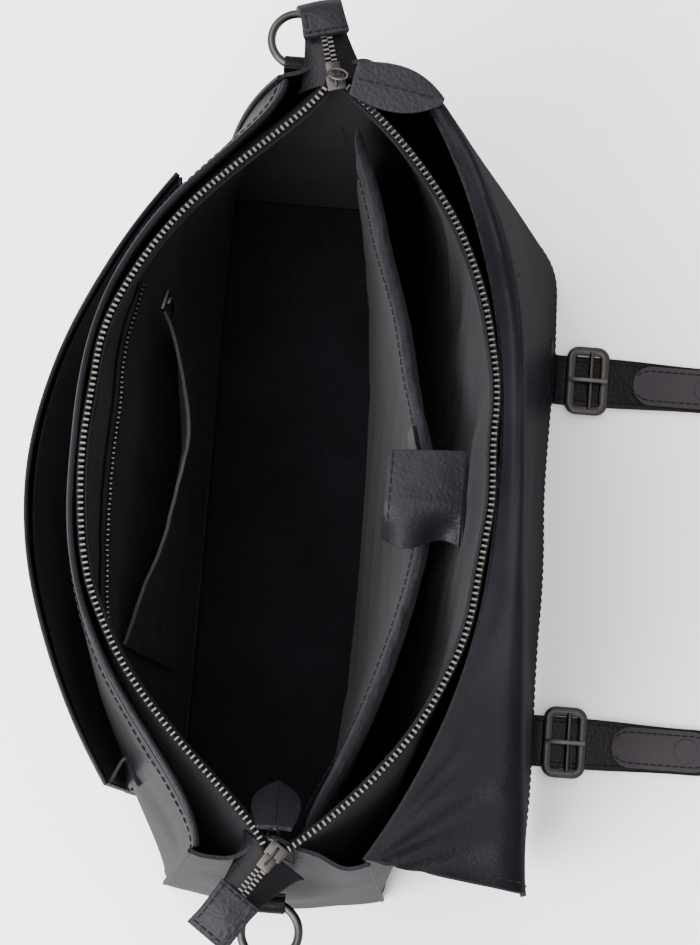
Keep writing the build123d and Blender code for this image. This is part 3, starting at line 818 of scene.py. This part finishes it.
def buildMainZip():
    for label, side in (("front", -1), ("back", 1)):
        def line(t):
            return mouthPoint(2 * t - 1, side)
        length = routeAlong(line, 400)[1][-1]
        spots = evenPlaces(line, zipParts["pitch"], zipParts["start"], length - zipParts["start"])
        teeth = [toothAt(point, along) for point, along in spots]
        place(f"{label}Teeth", joinMeshes(teeth), toothMetal, [f"{label}_zip_chain"])

        def cordLine(t):
            return mouthPoint(2 * t - 1, side, -zipParts["cordOut"])
        bead = tubeMesh(routeAlong(cordLine, 200)[0], zipParts["cord"], sides=6)
        place(f"{label}TapeCord", bead, tapeWeave)

        def tape(u, v):
            top = mouthPoint(2 * u - 1, side, -zipParts["tapeOut"])
            return top + Vector((0, side * zipParts["tapeLean"] * v, -zipParts["tapeDepth"] * v))
        place(f"{label}Tape", sheetMesh(160, 6, tape, zipParts["tapeThickness"]), tapeWeave,
              [f"{label}_zip_tape"])

        def seam(t):
            return mouthPoint(2 * t - 1, side, zipParts["hemIn"], mouth["z"] - zipParts["hemDrop"])
        hem = tubeMesh(routeAlong(seam, 200)[0], zipParts["hem"], sides=6)
        place(f"{label}LiningHem", hem, liningCotton)


def endMatrix(side):
    turn = zipParts["leftTurn"] if side < 0 else zipParts["rightTurn"]
    return Matrix.Translation(Vector((side * mouth["half"], 0.0, 0.0))) @ Matrix.Rotation(turn, 4, "Z")


zipEnd = {"teeth": 7, "first": 0.0072, "row": 0.0014, "tooth": (0.0013, 0.0030, zipParts["toothHeight"]),
          "tapeThickness": 0.0012, "tabThickness": 0.0052, "tabStart": 0.0222, "tabStop": 0.0485,
          "tabWidth": 0.0228, "threadLift": 0.0028}


def buildZipEnds():
    closed = []
    tapes = []
    tabs = []
    threads = []
    for side in (-1, 1):
        at = endMatrix(side)
        for step in range(zipEnd["teeth"]):
            for row, shift in ((-1, 0.0), (1, 0.5)):
                x = zipEnd["first"] + (step + shift) * zipParts["pitch"] * 0.8
                matrix = at @ Matrix.Translation(Vector((x, row * zipEnd["row"], mouth["z"])))
                closed.append(blockMesh(zipEnd["tooth"], 0.0003, 1, matrix))

        def tape(u, v):
            half = mix(0.0185, 0.0100, u ** 0.6)
            across = (v - 0.5) * 2
            return at @ Vector((mix(-0.0015, 0.026, u), across * half,
                                mouth["z"] - 0.0018 - 0.0075 * across ** 2 * (1 - 0.6 * u)))
        tapes.append(sheetMesh(16, 24, tape, zipEnd["tapeThickness"], 0.0003))

        def tab(u, v):
            # the folded leather end; the left one hangs down at its tip
            droop = max(0.0, u - 0.35) ** 2 * (0.026 if side < 0 else 0.004)
            along = mix(zipEnd["tabStart"], zipEnd["tabStop"], u) - droop * 0.6
            width = zipEnd["tabWidth"] - 0.0016 * hump(u)
            rise = 0.0008 + 0.0012 * hump(v) + 0.0005 * ripple((u, v, side), 0.4, 3.0)
            return at @ Vector((along, (v - 0.5) * width, mouth["z"] + rise - 0.0035 * u * u - droop))
        tabs.append(sheetMesh(20, 18, tab, zipEnd["tabThickness"], 0.0008))

        def border(t):
            corners = [(0.08, 0.10), (0.08, 0.90), (0.92, 0.90), (0.92, 0.10), (0.08, 0.10)]
            leg = min(3, int(t * 4))
            share = t * 4 - leg
            u = mix(corners[leg][0], corners[leg + 1][0], share)
            v = mix(corners[leg][1], corners[leg + 1][1], share)
            return tab(u, v) + Vector((0, 0, zipEnd["threadLift"]))
        threads.append(stitchMesh(border))
    place("closedTeeth", joinMeshes(closed), toothMetal, ["closed_zip_ends"])
    place("endTapes", joinMeshes(tapes), smoothLeather, slotName="zip_tape")
    place("endTabs", joinMeshes(tabs), pebbledLeather, ["zip_end_tabs"])
    place("endTabStitching", joinMeshes(threads), waxedThread, slotName="grained_leather")


slider = {"nose": (0.0085, 0.0072, 0.0016), "noseAt": 0.0035, "wings": (0.0080, 0.0094, 0.0016),
          "wingsAt": -0.0030, "rounding": 0.0007, "bridgeHalf": 0.0045, "bridgeRise": 0.0010,
          "bridgeRadius": 0.0008}


def buildSliders():
    for label, side in (("left", -1), ("right", 1)):
        at = endMatrix(side)
        topZ = boxOf(f"{label}_slider")[1].z

        parts = []
        for shape, segments in (("nose", 2), ("wings", 3)):
            size = slider[shape]
            shift = Matrix.Translation(Vector((slider[shape + "At"], 0, topZ - size[2] / 2)))
            parts.append(blockMesh(size, slider["rounding"], segments, at @ shift))
        arch = [at @ Vector((slider["bridgeHalf"] * math.cos(math.pi * step / 8), 0,
                             topZ + slider["bridgeRise"] * hump(step / 8))) for step in range(9)]
        parts.append(tubeMesh(arch, slider["bridgeRadius"], sides=8, flat=1.6))
        place(f"{label}Slider", joinMeshes(parts), darkNickel, [f"{label}_slider"],
              body=f"{label}_runner")


leaf = {"start": 0.12, "length": 0.052, "width": 0.0245, "thickness": 0.0022, "bow": 0.0010,
        "crown": 0.0006, "leftTurn": 80, "rightDrop": 60, "bailHalf": 0.0048, "bailWidth": 0.0026,
        "bailRadius": 0.0007}


def leafHalfWidth(t):
    # narrow at the slider, widest past the middle, closing to a point
    return leaf["width"] / 2 * (0.30 + 0.70 * hump(clamp(t * 0.78 + 0.06)) ** 0.8) * (1 - t ** 5) ** 0.7


def buildPullers():
    # the left leaf lies flat over the flap, the right one hangs into the mouth
    leftRoot = Vector((-mouth["half"], 0.003, boxOf("left_puller")[0].z + 0.0015))
    leftAt = Matrix.Translation(leftRoot) @ Matrix.Rotation(math.radians(leaf["leftTurn"]), 4, "Z")
    rightRoot = Vector((mouth["half"] - 0.0095, 0.0, boxOf("right_puller")[1].z - 0.0004))
    rightAt = (Matrix.Translation(rightRoot) @ Matrix.Rotation(math.pi, 4, "Z")
               @ Matrix.Rotation(math.radians(leaf["rightDrop"]), 4, "Y"))
    for label, at in (("left", leftAt), ("right", rightAt)):
        def where(u, v, lift=0.0):
            t = mix(leaf["start"], 1.0, u ** 0.9)
            bow = leaf["bow"] * hump(t) + leaf["crown"] * hump(v)
            across = (v - 0.5) * 2 * leafHalfWidth(min(t, 0.985))
            return at @ Vector((t * leaf["length"], across, bow + lift))
        place(f"{label}Puller", sheetMesh(44, 18, where, leaf["thickness"], 0.0005), pebbledLeather,
              [f"{label}_puller"], body=f"{label}_pull")
        line = stitchMesh(lambda t: where(mix(0.06, 0.86, t), 0.5, leaf["thickness"] / 2 + 0.0001),
                          up=at.to_3x3() @ Vector((0, 0, 1)))
        place(f"{label}PullerStitching", line, waxedThread, body=f"{label}_pull",
              slotName="grained_leather")
        loop = [at @ Vector((leaf["bailHalf"] * math.cos(a) - 0.0015, leaf["bailWidth"] * math.sin(a),
                             0.0016 + 0.0004 * math.cos(a)))
                for a in [2 * math.pi * step / 16 for step in range(16)]]
        bail = tubeMesh(loop, leaf["bailRadius"], closed=True, sides=8)
        place(f"{label}Bail", bail, darkNickel, body=f"{label}_pull")


buildMainZip()
buildZipEnds()
buildSliders()
buildPullers()
print("zip made")


# ---- side rings ----

ringLoop = {"reach": 0.0042, "width": 0.0125, "thickness": 0.0015, "wrap": 2.5}


def buildRings():
    low, high = boxOf("right_ring")
    wire = (high.z - low.z) / 2
    radius = (high.x - low.x) / 2 - wire
    loopLow, loopHigh = boxOf("ring_loops")
    loops = []
    for label, side in (("left", -1), ("right", 1)):
        centre = centreOf(f"{label}_ring")
        circle = [centre + Vector((radius * math.cos(a), radius * math.sin(a), 0))
                  for a in [2 * math.pi * step / 64 for step in range(64)]]
        ring = tubeMesh(circle, wire, closed=True, sides=16)
        place(f"{label}Ring", ring, darkNickel, [f"{label}_ring"], body=f"{label}_hoop", corner=60)
        eye = centre - Vector((side * radius, 0, 0))
        drop = (loopHigh.z - loopLow.z) / 2

        def strip(u, v):
            # up the gusset, round the ring and back down again
            reach = ringLoop["reach"]
            if v < 0.3:
                point = Vector((-reach, 0, mix(-drop, -reach * 0.6, v / 0.3)))
            elif v > 0.7:
                point = Vector((-reach, 0, mix(reach * 0.6, drop, (v - 0.7) / 0.3)))
            else:
                turn = mix(-ringLoop["wrap"], ringLoop["wrap"], (v - 0.3) / 0.4)
                point = Vector((math.cos(turn) * reach, 0, math.sin(turn) * reach))
            return eye + Vector((side * point.x, (u - 0.5) * ringLoop["width"], point.z))
        loops.append(sheetMesh(8, 48, strip, ringLoop["thickness"], 0.0003))
    place("ringLoops", joinMeshes(loops), smoothLeather, ["ring_loops"])


buildRings()


# ---- front pocket ----

pocketLow, pocketHigh = boxOf("pocket_panel")
pocket = {"half": pocketHigh.x, "end": 0.084, "floorReach": 0.097, "reach": -pocketLow.y,
          "floor": pocketLow.z, "top": pocketHigh.z, "leather": 0.002, "sway": 0.0022, "dip": 0.004,
          "facing": 0.0009, "facingIn": 0.0030, "facingTop": 0.965, "rimRadius": 0.0015, "rimDrop": 0.0014,
          "rimStitch": 0.962, "threadOut": 0.0003, "tuck": 0.013, "side": 0.0016, "base": 0.0018}


def pocketPoint(u, v, inset=0.0):
    # u runs -1 to 1 along the panel, v runs 0 to 1 up it
    middle = mix(pocket["floorReach"], pocket["reach"], v ** 0.8)
    end = pocket["end"] + 0.004 * v * u
    shape = 1 - abs(u - 0.03 * (1 - u * u)) ** mix(3.5, 1.9, v)
    y = end + (middle - end) * clamp(shape) - inset
    sway = pocket["sway"] * ripple((u * 0.17, 0.0, v * 0.19), 0.05, 51.0) * hump(clamp(v * 0.8 + 0.1))
    dip = pocket["dip"] * hump((u + 1) / 2) * v
    return Vector((pocket["half"] * u, -y - sway, mix(pocket["floor"], pocket["top"] - dip, v)))


def buildPocket():
    middleIn = pocket["leather"] / 2

    def panel(u, v):
        return pocketPoint(2 * u - 1, v, middleIn)
    place("pocketPanel", sheetMesh(120, 60, panel, pocket["leather"]), smoothLeather, ["pocket_panel"])

    def facing(u, v):
        return pocketPoint(1 - 2 * u, pocket["facingTop"] * v, pocket["facingIn"])
    place("pocketFacing", sheetMesh(90, 40, facing, pocket["facing"]), liningCotton, ["pocket_lining"])

    def rim(t):
        return pocketPoint(2 * t - 1, 1.0, middleIn) - Vector((0, 0, pocket["rimDrop"]))
    place("pocketRim", tubeMesh(routeAlong(rim, 140)[0], pocket["rimRadius"], sides=10, flat=1.5),
          wornLeather)

    def rimStitch(t):
        return pocketPoint(2 * t - 1, pocket["rimStitch"], -pocket["threadOut"])
    place("pocketRimStitching", stitchMesh(rimStitch, up=Vector((0, -1, 0))), waxedThread)
    sides = []
    for side in (-1, 1):
        def end(u, v):
            # from the wall out to the panel's end, folded into itself towards the top
            z = mix(pocket["floor"], pocket["top"] - pocket["dip"], v)
            up = (z - body["floor"]) / (body["top"] - body["floor"])
            wallU = pocket["half"] / mix(body["baseHalf"], body["topHalf"], up ** 2)
            wall = outerPoint(side * min(0.999, wallU), up, -1, 0.0012)
            point = wall.lerp(pocketPoint(side, v, middleIn), u)
            point.x -= side * (0.001 + pocket["tuck"] * hump(u) ** 2 * ease((v - 0.35) / 0.65))
            point.z = z
            return point
        sides.append(sheetMesh(16, 50, lambda u, v: end(u if side > 0 else 1 - u, v), pocket["side"]))

    def floor(u, v):
        outer = pocketPoint(2 * u - 1, 0.0, 0.0012)
        up = (pocket["floor"] - body["floor"]) / (body["top"] - body["floor"])
        wall = outerPoint(clamp((2 * u - 1) * 0.82, -0.999, 0.999), up, -1, 0.0012)
        point = wall.lerp(outer, v)
        point.z = pocket["floor"] - 0.001
        return point
    sides.append(sheetMesh(60, 10, floor, pocket["base"]))
    place("pocketGusset", joinMeshes(sides), wornLeather, ["pocket_gusset"])
    sockets = []
    low, high = boxOf("snap_sockets")
    radius = (high.z - low.z) / 2
    share = ((low.z + high.z) / 2 - pocket["floor"]) / (pocket["top"] - pocket["floor"])
    for side in (-1, 1):
        u = side * (high.x - radius) / pocket["half"]
        middle = pocketPoint(u, share)
        across = pocketPoint(u + 0.02, share) - pocketPoint(u - 0.02, share)
        upward = pocketPoint(u, share + 0.02) - pocketPoint(u, share - 0.02)
        turn = across.cross(upward).normalized().to_track_quat("Z", "Y").to_matrix().to_4x4()
        for size, out, tall in ((radius * 0.9, 0.0004, 0.0012), (radius * 0.55, 0.0010, 0.0014)):
            matrix = Matrix.Translation(middle) @ turn @ Matrix.Translation(Vector((0, 0, out)))
            sockets.append(discMesh(size, size * 0.9, tall, matrix))
    place("snapSockets", joinMeshes(sockets), darkNickel, ["snap_sockets"])


buildPocket()
print("pocket made")


# ---- flap ----

flap = {"thickness": 0.0030, "split": 0.120, "cornerRadius": 0.034, "bend": 0.013, "floor": 0.0105,
        "left": -0.2015, "right": 0.2005, "seamLift": 0.0022, "crest": 0.3130, "belly": 0.0008,
        "waves": 0.0016, "fan": 0.0020, "drape": 0.0024, "creases": 0.0011, "threadSide": 0.975,
        "threadLift": 0.0014, "threadOut": 0.0016}


def flapControls(u):
    # seam, crest and bottom edge at one place along the flap
    fall = clamp((-u - 0.3) / 0.7)
    seam = outerPoint(u, 1.0, 1, 0.0002)
    seam.z = body["top"] + flap["seamLift"]
    crest = Vector((0.009 + 0.189 * u, 0.104 + 0.013 * u - 0.038 * fall ** 2.2,
                    flap["crest"] - 0.0085 * fall ** 1.5))
    curl = clamp((-u - 0.75) / 0.25) ** 3
    x = mix(flap["left"], flap["right"], (u + 1) / 2)
    bottom = Vector((x, 0.1425 + 0.0015 * u - 0.036 * curl, flap["floor"]))
    inset = max(0.0, abs(x) - (flap["right"] - flap["cornerRadius"]))
    inset = min(inset, flap["cornerRadius"] * 0.985)
    bottom.z += flap["cornerRadius"] - math.sqrt(flap["cornerRadius"] ** 2 - inset ** 2)
    return seam, crest, bottom


def flapRuns(u):
    # the flap's length before and past its crest
    seam, crest, bottom = flapControls(u)
    return (crest - seam).length, (bottom - crest).length


def flapPoint(u, distance):
    # distance is measured from the crest, negative back towards the seam
    seam, crest, bottom = flapControls(u)
    root = (crest - seam).length
    down = bottom - crest
    bend = min(flap["bend"], root * 0.75)
    into = (crest - seam).normalized()
    onward = down.normalized()
    if abs(distance) < bend:
        share = (distance + bend) / (2 * bend)
        start = crest - into * bend
        stop = crest + onward * bend
        point = start * (1 - share) ** 2 + crest * 2 * share * (1 - share) + stop * share ** 2
    elif distance < 0:
        point = crest + into * distance
    else:
        point = crest + onward * distance
    hang = clamp(distance / down.length)
    waves = flap["waves"] * (ripple((point.x, 0.0, hang * 0.08), 0.055, 61.0) - 0.5) * ease(hang * 2.5)
    point.y += flap["belly"] * hump(hang) + waves
    # soft folds that fan out from the seam's end on the right
    centre = Vector((0.196, 0.030, 0.0))
    flat = Vector((point.x, point.y, 0.0)) - centre
    angle = math.atan2(flat.x, flat.y)
    near = clamp(1 - flat.length / 0.21) * clamp(flat.length / 0.03)
    fan = math.sin(angle * 17 + 2.2 * ripple((point.x, point.y, 0), 0.05, 63.0))
    point.z += flap["fan"] * near * fan * (1 - ease(hang * 6)) * ease((distance + root) / 0.01)
    # long folds beside the crest, strongest on the left, and small creases on top
    free = ease((distance + root) / 0.012)
    drape = flap["drape"] * ripple((point.x * 0.16, distance + 0.10 * point.x, 0.0), 0.011, 67.0)
    point.z += drape * clamp(0.75 - 1.2 * u) * free * (1 - ease(hang * 3))
    point.z += flap["creases"] * ripple((point.x, point.y, 0), 0.028, 65.0) * free * (1 - hang)
    return point


def buildFlap():
    def top(u, v):
        along = 2 * u - 1
        return flapPoint(along, mix(-flapRuns(along)[0], flap["split"], v ** 1.1))

    def drop(u, v):
        along = 2 * u - 1
        return flapPoint(along, mix(flap["split"], flapRuns(along)[1], v))

    upper = place("flapTop", sheetMesh(170, 84, top, flap["thickness"]), flapLeather,
                  ["flap_root", "flap_upper", "flap_upper_facing"], body="flap", ride=False)
    lower = place("flapDrop", sheetMesh(170, 70, drop, flap["thickness"]), flapLeather,
                  ["flap_lower", "flap_lower_facing"], body="flap", ride=False)

    rootRun, dropRun = flapRuns(flap["threadSide"])

    def edgeRight(t):
        return flapPoint(flap["threadSide"], mix(-rootRun, dropRun - 0.03, t))

    def edgeBottom(t):
        along = mix(-0.93, 0.93, t)
        return flapPoint(along, flapRuns(along)[1] - 0.0045)

    outward = Vector((0, 1, 0))
    above = Vector((0, 0.0005, flap["threadLift"]))
    off = outward * flap["threadOut"]
    sideRun = routeAlong(edgeRight)[1][-1]
    upperSide = stitchMesh(lambda t: edgeRight(t) + above, 0.0, rootRun + flap["split"])
    lowerSide = stitchMesh(lambda t: edgeRight(t) + off, rootRun + flap["split"], sideRun, outward)
    lowerEdge = stitchMesh(lambda t: edgeBottom(t) + off, up=outward)
    upperThread = place("flapTopStitching", upperSide, waxedThread, body="flap", ride=False)
    lowerThread = place("flapDropStitching", joinMeshes([lowerSide, lowerEdge]), waxedThread, body="flap",
                        ride=False)
    for piece in (upper, upperThread):
        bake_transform(piece)
    for piece in (lower, lowerThread):
        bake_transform(piece)


buildFlap()
print("flap made")


# ---- flap straps ----

straps = {"width": 0.030, "thickness": 0.0026, "reach": 0.0075, "bend": 0.006, "tail": 0.016,
          "wire": 0.0028, "wireFlat": 0.5, "frameCorner": 0.0045, "barHalf": 0.0175, "barRadius": 0.0016,
          "prongRadius": 0.0014, "patchThickness": 0.0013}


def frameRoute(centre, length, depth, radius):
    # a rounded rectangle, walked once round
    points = []
    for cornerX, cornerY, start in ((1, 1, 0.0), (-1, 1, 0.5), (-1, -1, 1.0), (1, -1, 1.5)):
        middle = centre + Vector((cornerX * (length / 2 - radius), cornerY * (depth / 2 - radius), 0))
        for step in range(7):
            turn = math.pi * (start + step / 12)
            points.append(middle + Vector((math.cos(turn) * radius, math.sin(turn) * radius, 0)))
    return points


def buildStraps():
    for label in ("left", "right"):
        low, high = boxOf(f"{label}_flap_strap")
        chapeHigh = boxOf(f"{label}_strap_chape")[1]
        x = (low.x + high.x) / 2
        z = (low.z + high.z) / 2
        # down the flap's outer face, round under its edge and out along the table
        drop = Vector((x, chapeHigh.y - straps["reach"], chapeHigh.z))
        foot = Vector((x, low.y - straps["reach"], z))
        route = bentRoute(drop, foot, Vector((x, high.y, z)), straps["bend"])
        dropLength = (foot - drop).length
        total = dropLength + high.y - foot.y

        def strap(u, v):
            distance = v * total
            point = route(distance)
            tail = clamp((distance - total) / straps["tail"] + 1)
            taper = 1 - 0.10 * ease((distance - dropLength - 0.03) / 0.06)
            half = straps["width"] / 2 * taper * math.sqrt(max(0.02, 1 - tail ** 2.2))
            lift = 0.0008 * hump(clamp((distance - dropLength) / (total - dropLength))) ** 2
            return point + Vector(((u - 0.5) * 2 * half, 0, lift))

        piece = place(f"{label}Strap", sheetMesh(14, 120, strap, straps["thickness"], 0.0005),
                      smoothLeather, [f"{label}_flap_strap", f"{label}_strap_chape"],
                      body=f"{label}_strap", ride=False)
        threads = [stitchMesh(lambda t: strap(edge, mix(0.30, 0.93, t)) + Vector((0, 0, 0.0014)))
                   for edge in (0.1, 0.9)]
        thread = place(f"{label}StrapStitching", joinMeshes(threads), waxedThread, body=f"{label}_strap",
                       ride=False)
        for item in (piece, thread):
            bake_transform(item)
        patchLow, patchHigh = boxOf(f"{label}_strap_patch")

        def patch(u, v):
            y = mix(patchLow.y, patchHigh.y, v)
            near = clamp((y - patchLow.y) / 0.011)
            far = clamp((patchHigh.y - y) / 0.012)
            half = (patchHigh.x - patchLow.x) / 2
            for nearness in (near, far):
                half *= math.sqrt(max(0.02, 1 - (1 - nearness) ** 2))
            return Vector((x + (u - 0.5) * 2 * half, y, patchLow.z + 0.0014 + 0.0006 * hump(u)))
        place(f"{label}StrapPatch", sheetMesh(16, 48, patch, straps["patchThickness"], 0.0003),
              patchLeather, [f"{label}_strap_patch"], body=f"{label}_strap")
        ring = [stitchMesh(lambda t: patch(edge, mix(0.06, 0.94, t)) + Vector((0, 0, 0.0006)))
                for edge in (0.12, 0.88)]
        place(f"{label}PatchStitching", joinMeshes(ring), waxedThread, body=f"{label}_strap",
              slotName="patch_leather")
        snap = centreOf(f"{label}_strap_snap")
        disc = discMesh(0.0078, 0.0070, 0.0016, Matrix.Translation(snap - Vector((0, 0, 0.0002))))
        place(f"{label}Snap", disc, patchLeather, [f"{label}_strap_snap"], body=f"{label}_strap",
              slotName="gunmetal")
        frameLow, frameHigh = boxOf(f"{label}_buckle_frame")
        centre = (frameLow + frameHigh) / 2
        spare = 2 * straps["wire"]
        outline = frameRoute(centre, frameHigh.x - frameLow.x - spare, frameHigh.y - frameLow.y - spare,
                             straps["frameCorner"])
        loop = tubeMesh(outline, straps["wire"], closed=True, sides=12, flat=straps["wireFlat"])
        far = centre + Vector((0, 0.002, 0.0004))
        across = Vector((straps["barHalf"], 0, 0))
        bar = tubeMesh([far - across, far + across], straps["barRadius"], sides=12)
        place(f"{label}Buckle", joinMeshes([loop, bar]), darkNickel, [f"{label}_buckle_frame"],
              body=f"{label}_buckle")
        prongLow, prongHigh = boxOf(f"{label}_buckle_prong")
        level = (prongLow.z + prongHigh.z) / 2 - 0.0006
        prong = [Vector((x, y, level + rise)) for y, rise in (
            (prongLow.y, -0.001), (prongLow.y + 0.004, 0.0006), (centre.y, 0.001),
            (prongHigh.y - 0.003, 0.0004), (prongHigh.y, -0.0004))]
        place(f"{label}Prong", tubeMesh(prong, straps["prongRadius"], sides=10), toothMetal,
              [f"{label}_buckle_prong"], body=f"{label}_prong")


buildStraps()
print("straps made")


# ---- shoulder straps and handle behind the bag ----

shoulder = {"topY": 0.099, "tuck": 0.002, "footY": 0.080, "footZ": 0.006, "tipZ": 0.005, "bend": 0.016,
            "taper": 0.35, "crown": 0.0007, "thickness": 0.0048}


def buildShoulderStraps():
    for label in ("left", "right"):
        low, high = boxOf(f"{label}_shoulder_strap")
        x = (low.x + high.x) / 2
        top = Vector((x, shoulder["topY"], high.z - shoulder["tuck"]))
        corner = Vector((x, shoulder["footY"], shoulder["footZ"]))
        tip = Vector((x, high.y - shoulder["tuck"], shoulder["tipZ"]))
        centreLine = bentRoute(top, corner, tip, shoulder["bend"])
        total = (corner - top).length + tip.y - corner.y

        def pad(u, v):
            half = (high.x - low.x) / 2 * (1 - shoulder["taper"] * ease((v - 0.8) / 0.2))
            return centreLine(v * total) + Vector(((u - 0.5) * 2 * half, shoulder["crown"] * hump(u), 0))
        piece = place(f"{label}ShoulderStrap", sheetMesh(18, 110, pad, shoulder["thickness"], 0.0011),
                      smoothLeather, [f"{label}_shoulder_strap"])
        face = Vector((0, shoulder["thickness"] / 2 + 0.0002, 0))
        threads = [stitchMesh(lambda t: pad(edge, mix(0.03, 0.75, t)) + face, up=Vector((0, 1, 0)))
                   for edge in (0.1, 0.9)]
        place(f"{label}ShoulderStitching", joinMeshes(threads), waxedThread)


handle = {"radius": 0.0024, "flat": 3.0, "margin": 0.009, "corner": 0.020, "straight": 0.004, "tuck": 0.001}


def buildHandle():
    low, high = boxOf("carrying_handle")
    middle = (low.y + high.y) / 2
    half = (high.x - low.x) / 2 - handle["margin"]
    radius = handle["corner"]
    centreZ = low.z + handle["margin"] + radius
    levels = (high.z - handle["tuck"], centreZ + handle["straight"])
    ends = [[Vector((side * half, middle, z)) for z in levels] for side in (-1, 1)]
    points = list(ends[0])
    for side, quarter in ((-1, 1.0), (1, 1.5)):
        for step in range(9):
            turn = math.pi * (quarter + step / 16)
            points.append(Vector((side * (half - radius) + radius * math.cos(turn), middle,
                                  centreZ + radius * math.sin(turn))))
    points += reversed(ends[1])
    grip = tubeMesh(points, handle["radius"], sides=16, flat=handle["flat"])
    place("carryingHandle", grip, smoothLeather, ["carrying_handle"], body="handle")


webbing = {"width": 0.021, "thickness": 0.0017, "level": 0.0022, "anchorLevel": 0.0026}


def buildWebbing():
    ribbons = []
    anchorLow, anchorHigh = boxOf("strap_anchors")
    footY = boxOf("left_shoulder_strap")[1].y
    footX = centreOf("right_shoulder_strap").x
    for side in (-1, 1):
        # out of the pad's foot, round in a loop on the table and back to the anchor
        stops = [Vector((footX + x, footY + y, webbing["level"]))
                 for x, y in ((0.0, -0.016), (0.001, 0.008), (0.018, 0.018), (0.048, -0.004))]
        stops += [Vector((anchorHigh.x - x, anchorLow.y + y, webbing["anchorLevel"]))
                  for x, y in ((0.020, 0.011), (0.012, 0.002))]

        def lane(t):
            # smooth curve through the stops
            leg = min(len(stops) - 2, int(t * (len(stops) - 1)))
            share = t * (len(stops) - 1) - leg
            first = stops[max(0, leg - 1)]
            second = stops[leg]
            third = stops[leg + 1]
            fourth = stops[min(len(stops) - 1, leg + 2)]
            point = (second * 2 + (third - first) * share
                     + (first * 2 - second * 5 + third * 4 - fourth) * share ** 2
                     + (second * 3 - first - third * 3 + fourth) * share ** 3) / 2
            return Vector((side * point.x, point.y, point.z))

        ribbon = sheetMesh(8, 70, lambda u, v: Vector((u - 0.5, v, 0)), webbing["thickness"])
        for vert in ribbon.verts:
            near = lane(clamp(vert.co.y - 0.01))
            far = lane(clamp(vert.co.y + 0.01))
            across = (far - near).cross(Vector((0, 0, 1))).normalized()
            lift = Vector((0, 0, vert.co.z))
            vert.co = lane(clamp(vert.co.y)) + across * vert.co.x * webbing["width"] + lift
        ribbons.append(ribbon)
    place("lowerStraps", joinMeshes(ribbons), webWeave, ["lower_straps"])
    dress({"handle_anchors": smoothLeather, "strap_yoke": smoothLeather, "strap_anchors": smoothLeather,
           "adjuster_buckles": darkNickel})


buildShoulderStraps()
buildHandle()
buildWebbing()
print("carrying parts made")


# ---- floor, light and camera ----

studio = {
    "floorSize": 14.0,
    "floor": "#F8F8F8",
    "sky": "#F6F7F9",
    "skyStrength": 1.4,
    "target": (0.0, 0.02, 0.2),
    # each softbox: where it hangs, its width and its power
    "lights": {
        "keySoftbox": ((1.35, -1.15, 1.9), 1.9, 195.0),
        "fillSoftbox": ((-0.9, -1.3, 2.1), 1.8, 85.0),
        "topSoftbox": ((0.1, -0.2, 2.6), 1.2, 30.0),
    },
}


def buildStage():
    bm = bmesh.new()
    bmesh.ops.create_grid(bm, x_segments=1, y_segments=1, size=studio["floorSize"])
    mesh = bpy.data.meshes.new("floor")
    bm.to_mesh(mesh)
    bm.free()
    floor = bpy.data.objects.new("floor", mesh)
    bpy.context.scene.collection.objects.link(floor)
    mesh.materials.append(makeFloor("PaperSweep", studio["floor"]))
    world = bpy.data.worlds.new("studio")
    world.use_nodes = True
    background = world.node_tree.nodes["Background"]
    background.inputs["Color"].default_value = linearColour(studio["sky"])
    background.inputs["Strength"].default_value = studio["skyStrength"]
    bpy.context.scene.world = world
    for name, (spot, size, power) in studio["lights"].items():
        light = bpy.data.lights.new(name, "AREA")
        light.energy = power
        light.size = size
        lamp = bpy.data.objects.new(name, light)
        lamp.location = spot
        lamp.rotation_euler = (Vector(studio["target"]) - Vector(spot)).to_track_quat("-Z", "Y").to_euler()
        bpy.context.scene.collection.objects.link(lamp)


view = {"aim": (0.0062, 0.0225, 0.305), "distance": 1.2, "tilt": 9.0, "swing": -1.3, "roll": 4.6,
        "lens": 95.6, "sensor": 36.0}


def buildCamera():
    roll = math.radians(view["roll"])
    tilt = math.radians(view["tilt"])
    down = Vector((math.cos(roll), math.sin(roll), 0))
    right = Vector((-math.sin(roll), math.cos(roll), 0))
    swing = math.tan(math.radians(view["swing"]))
    back = (down * math.tan(tilt) + right * swing + Vector((0, 0, 1))).normalized()
    right = (right - back * right.dot(back)).normalized()
    camera = bpy.data.cameras.new("camera")
    camera.lens = view["lens"]
    camera.sensor_width = view["sensor"]
    camera.sensor_fit = "VERTICAL"
    camera.sensor_height = view["sensor"]
    camera.clip_end = 20.0
    cameraObject = bpy.data.objects.new("camera", camera)
    up = back.cross(right)
    turn = Matrix((right, up, back)).transposed().to_4x4()
    cameraObject.matrix_world = Matrix.Translation(Vector(view["aim"]) + back * view["distance"]) @ turn
    bpy.context.scene.collection.objects.link(cameraObject)
    bpy.context.scene.camera = cameraObject


buildStage()
buildCamera()
print("stage made")
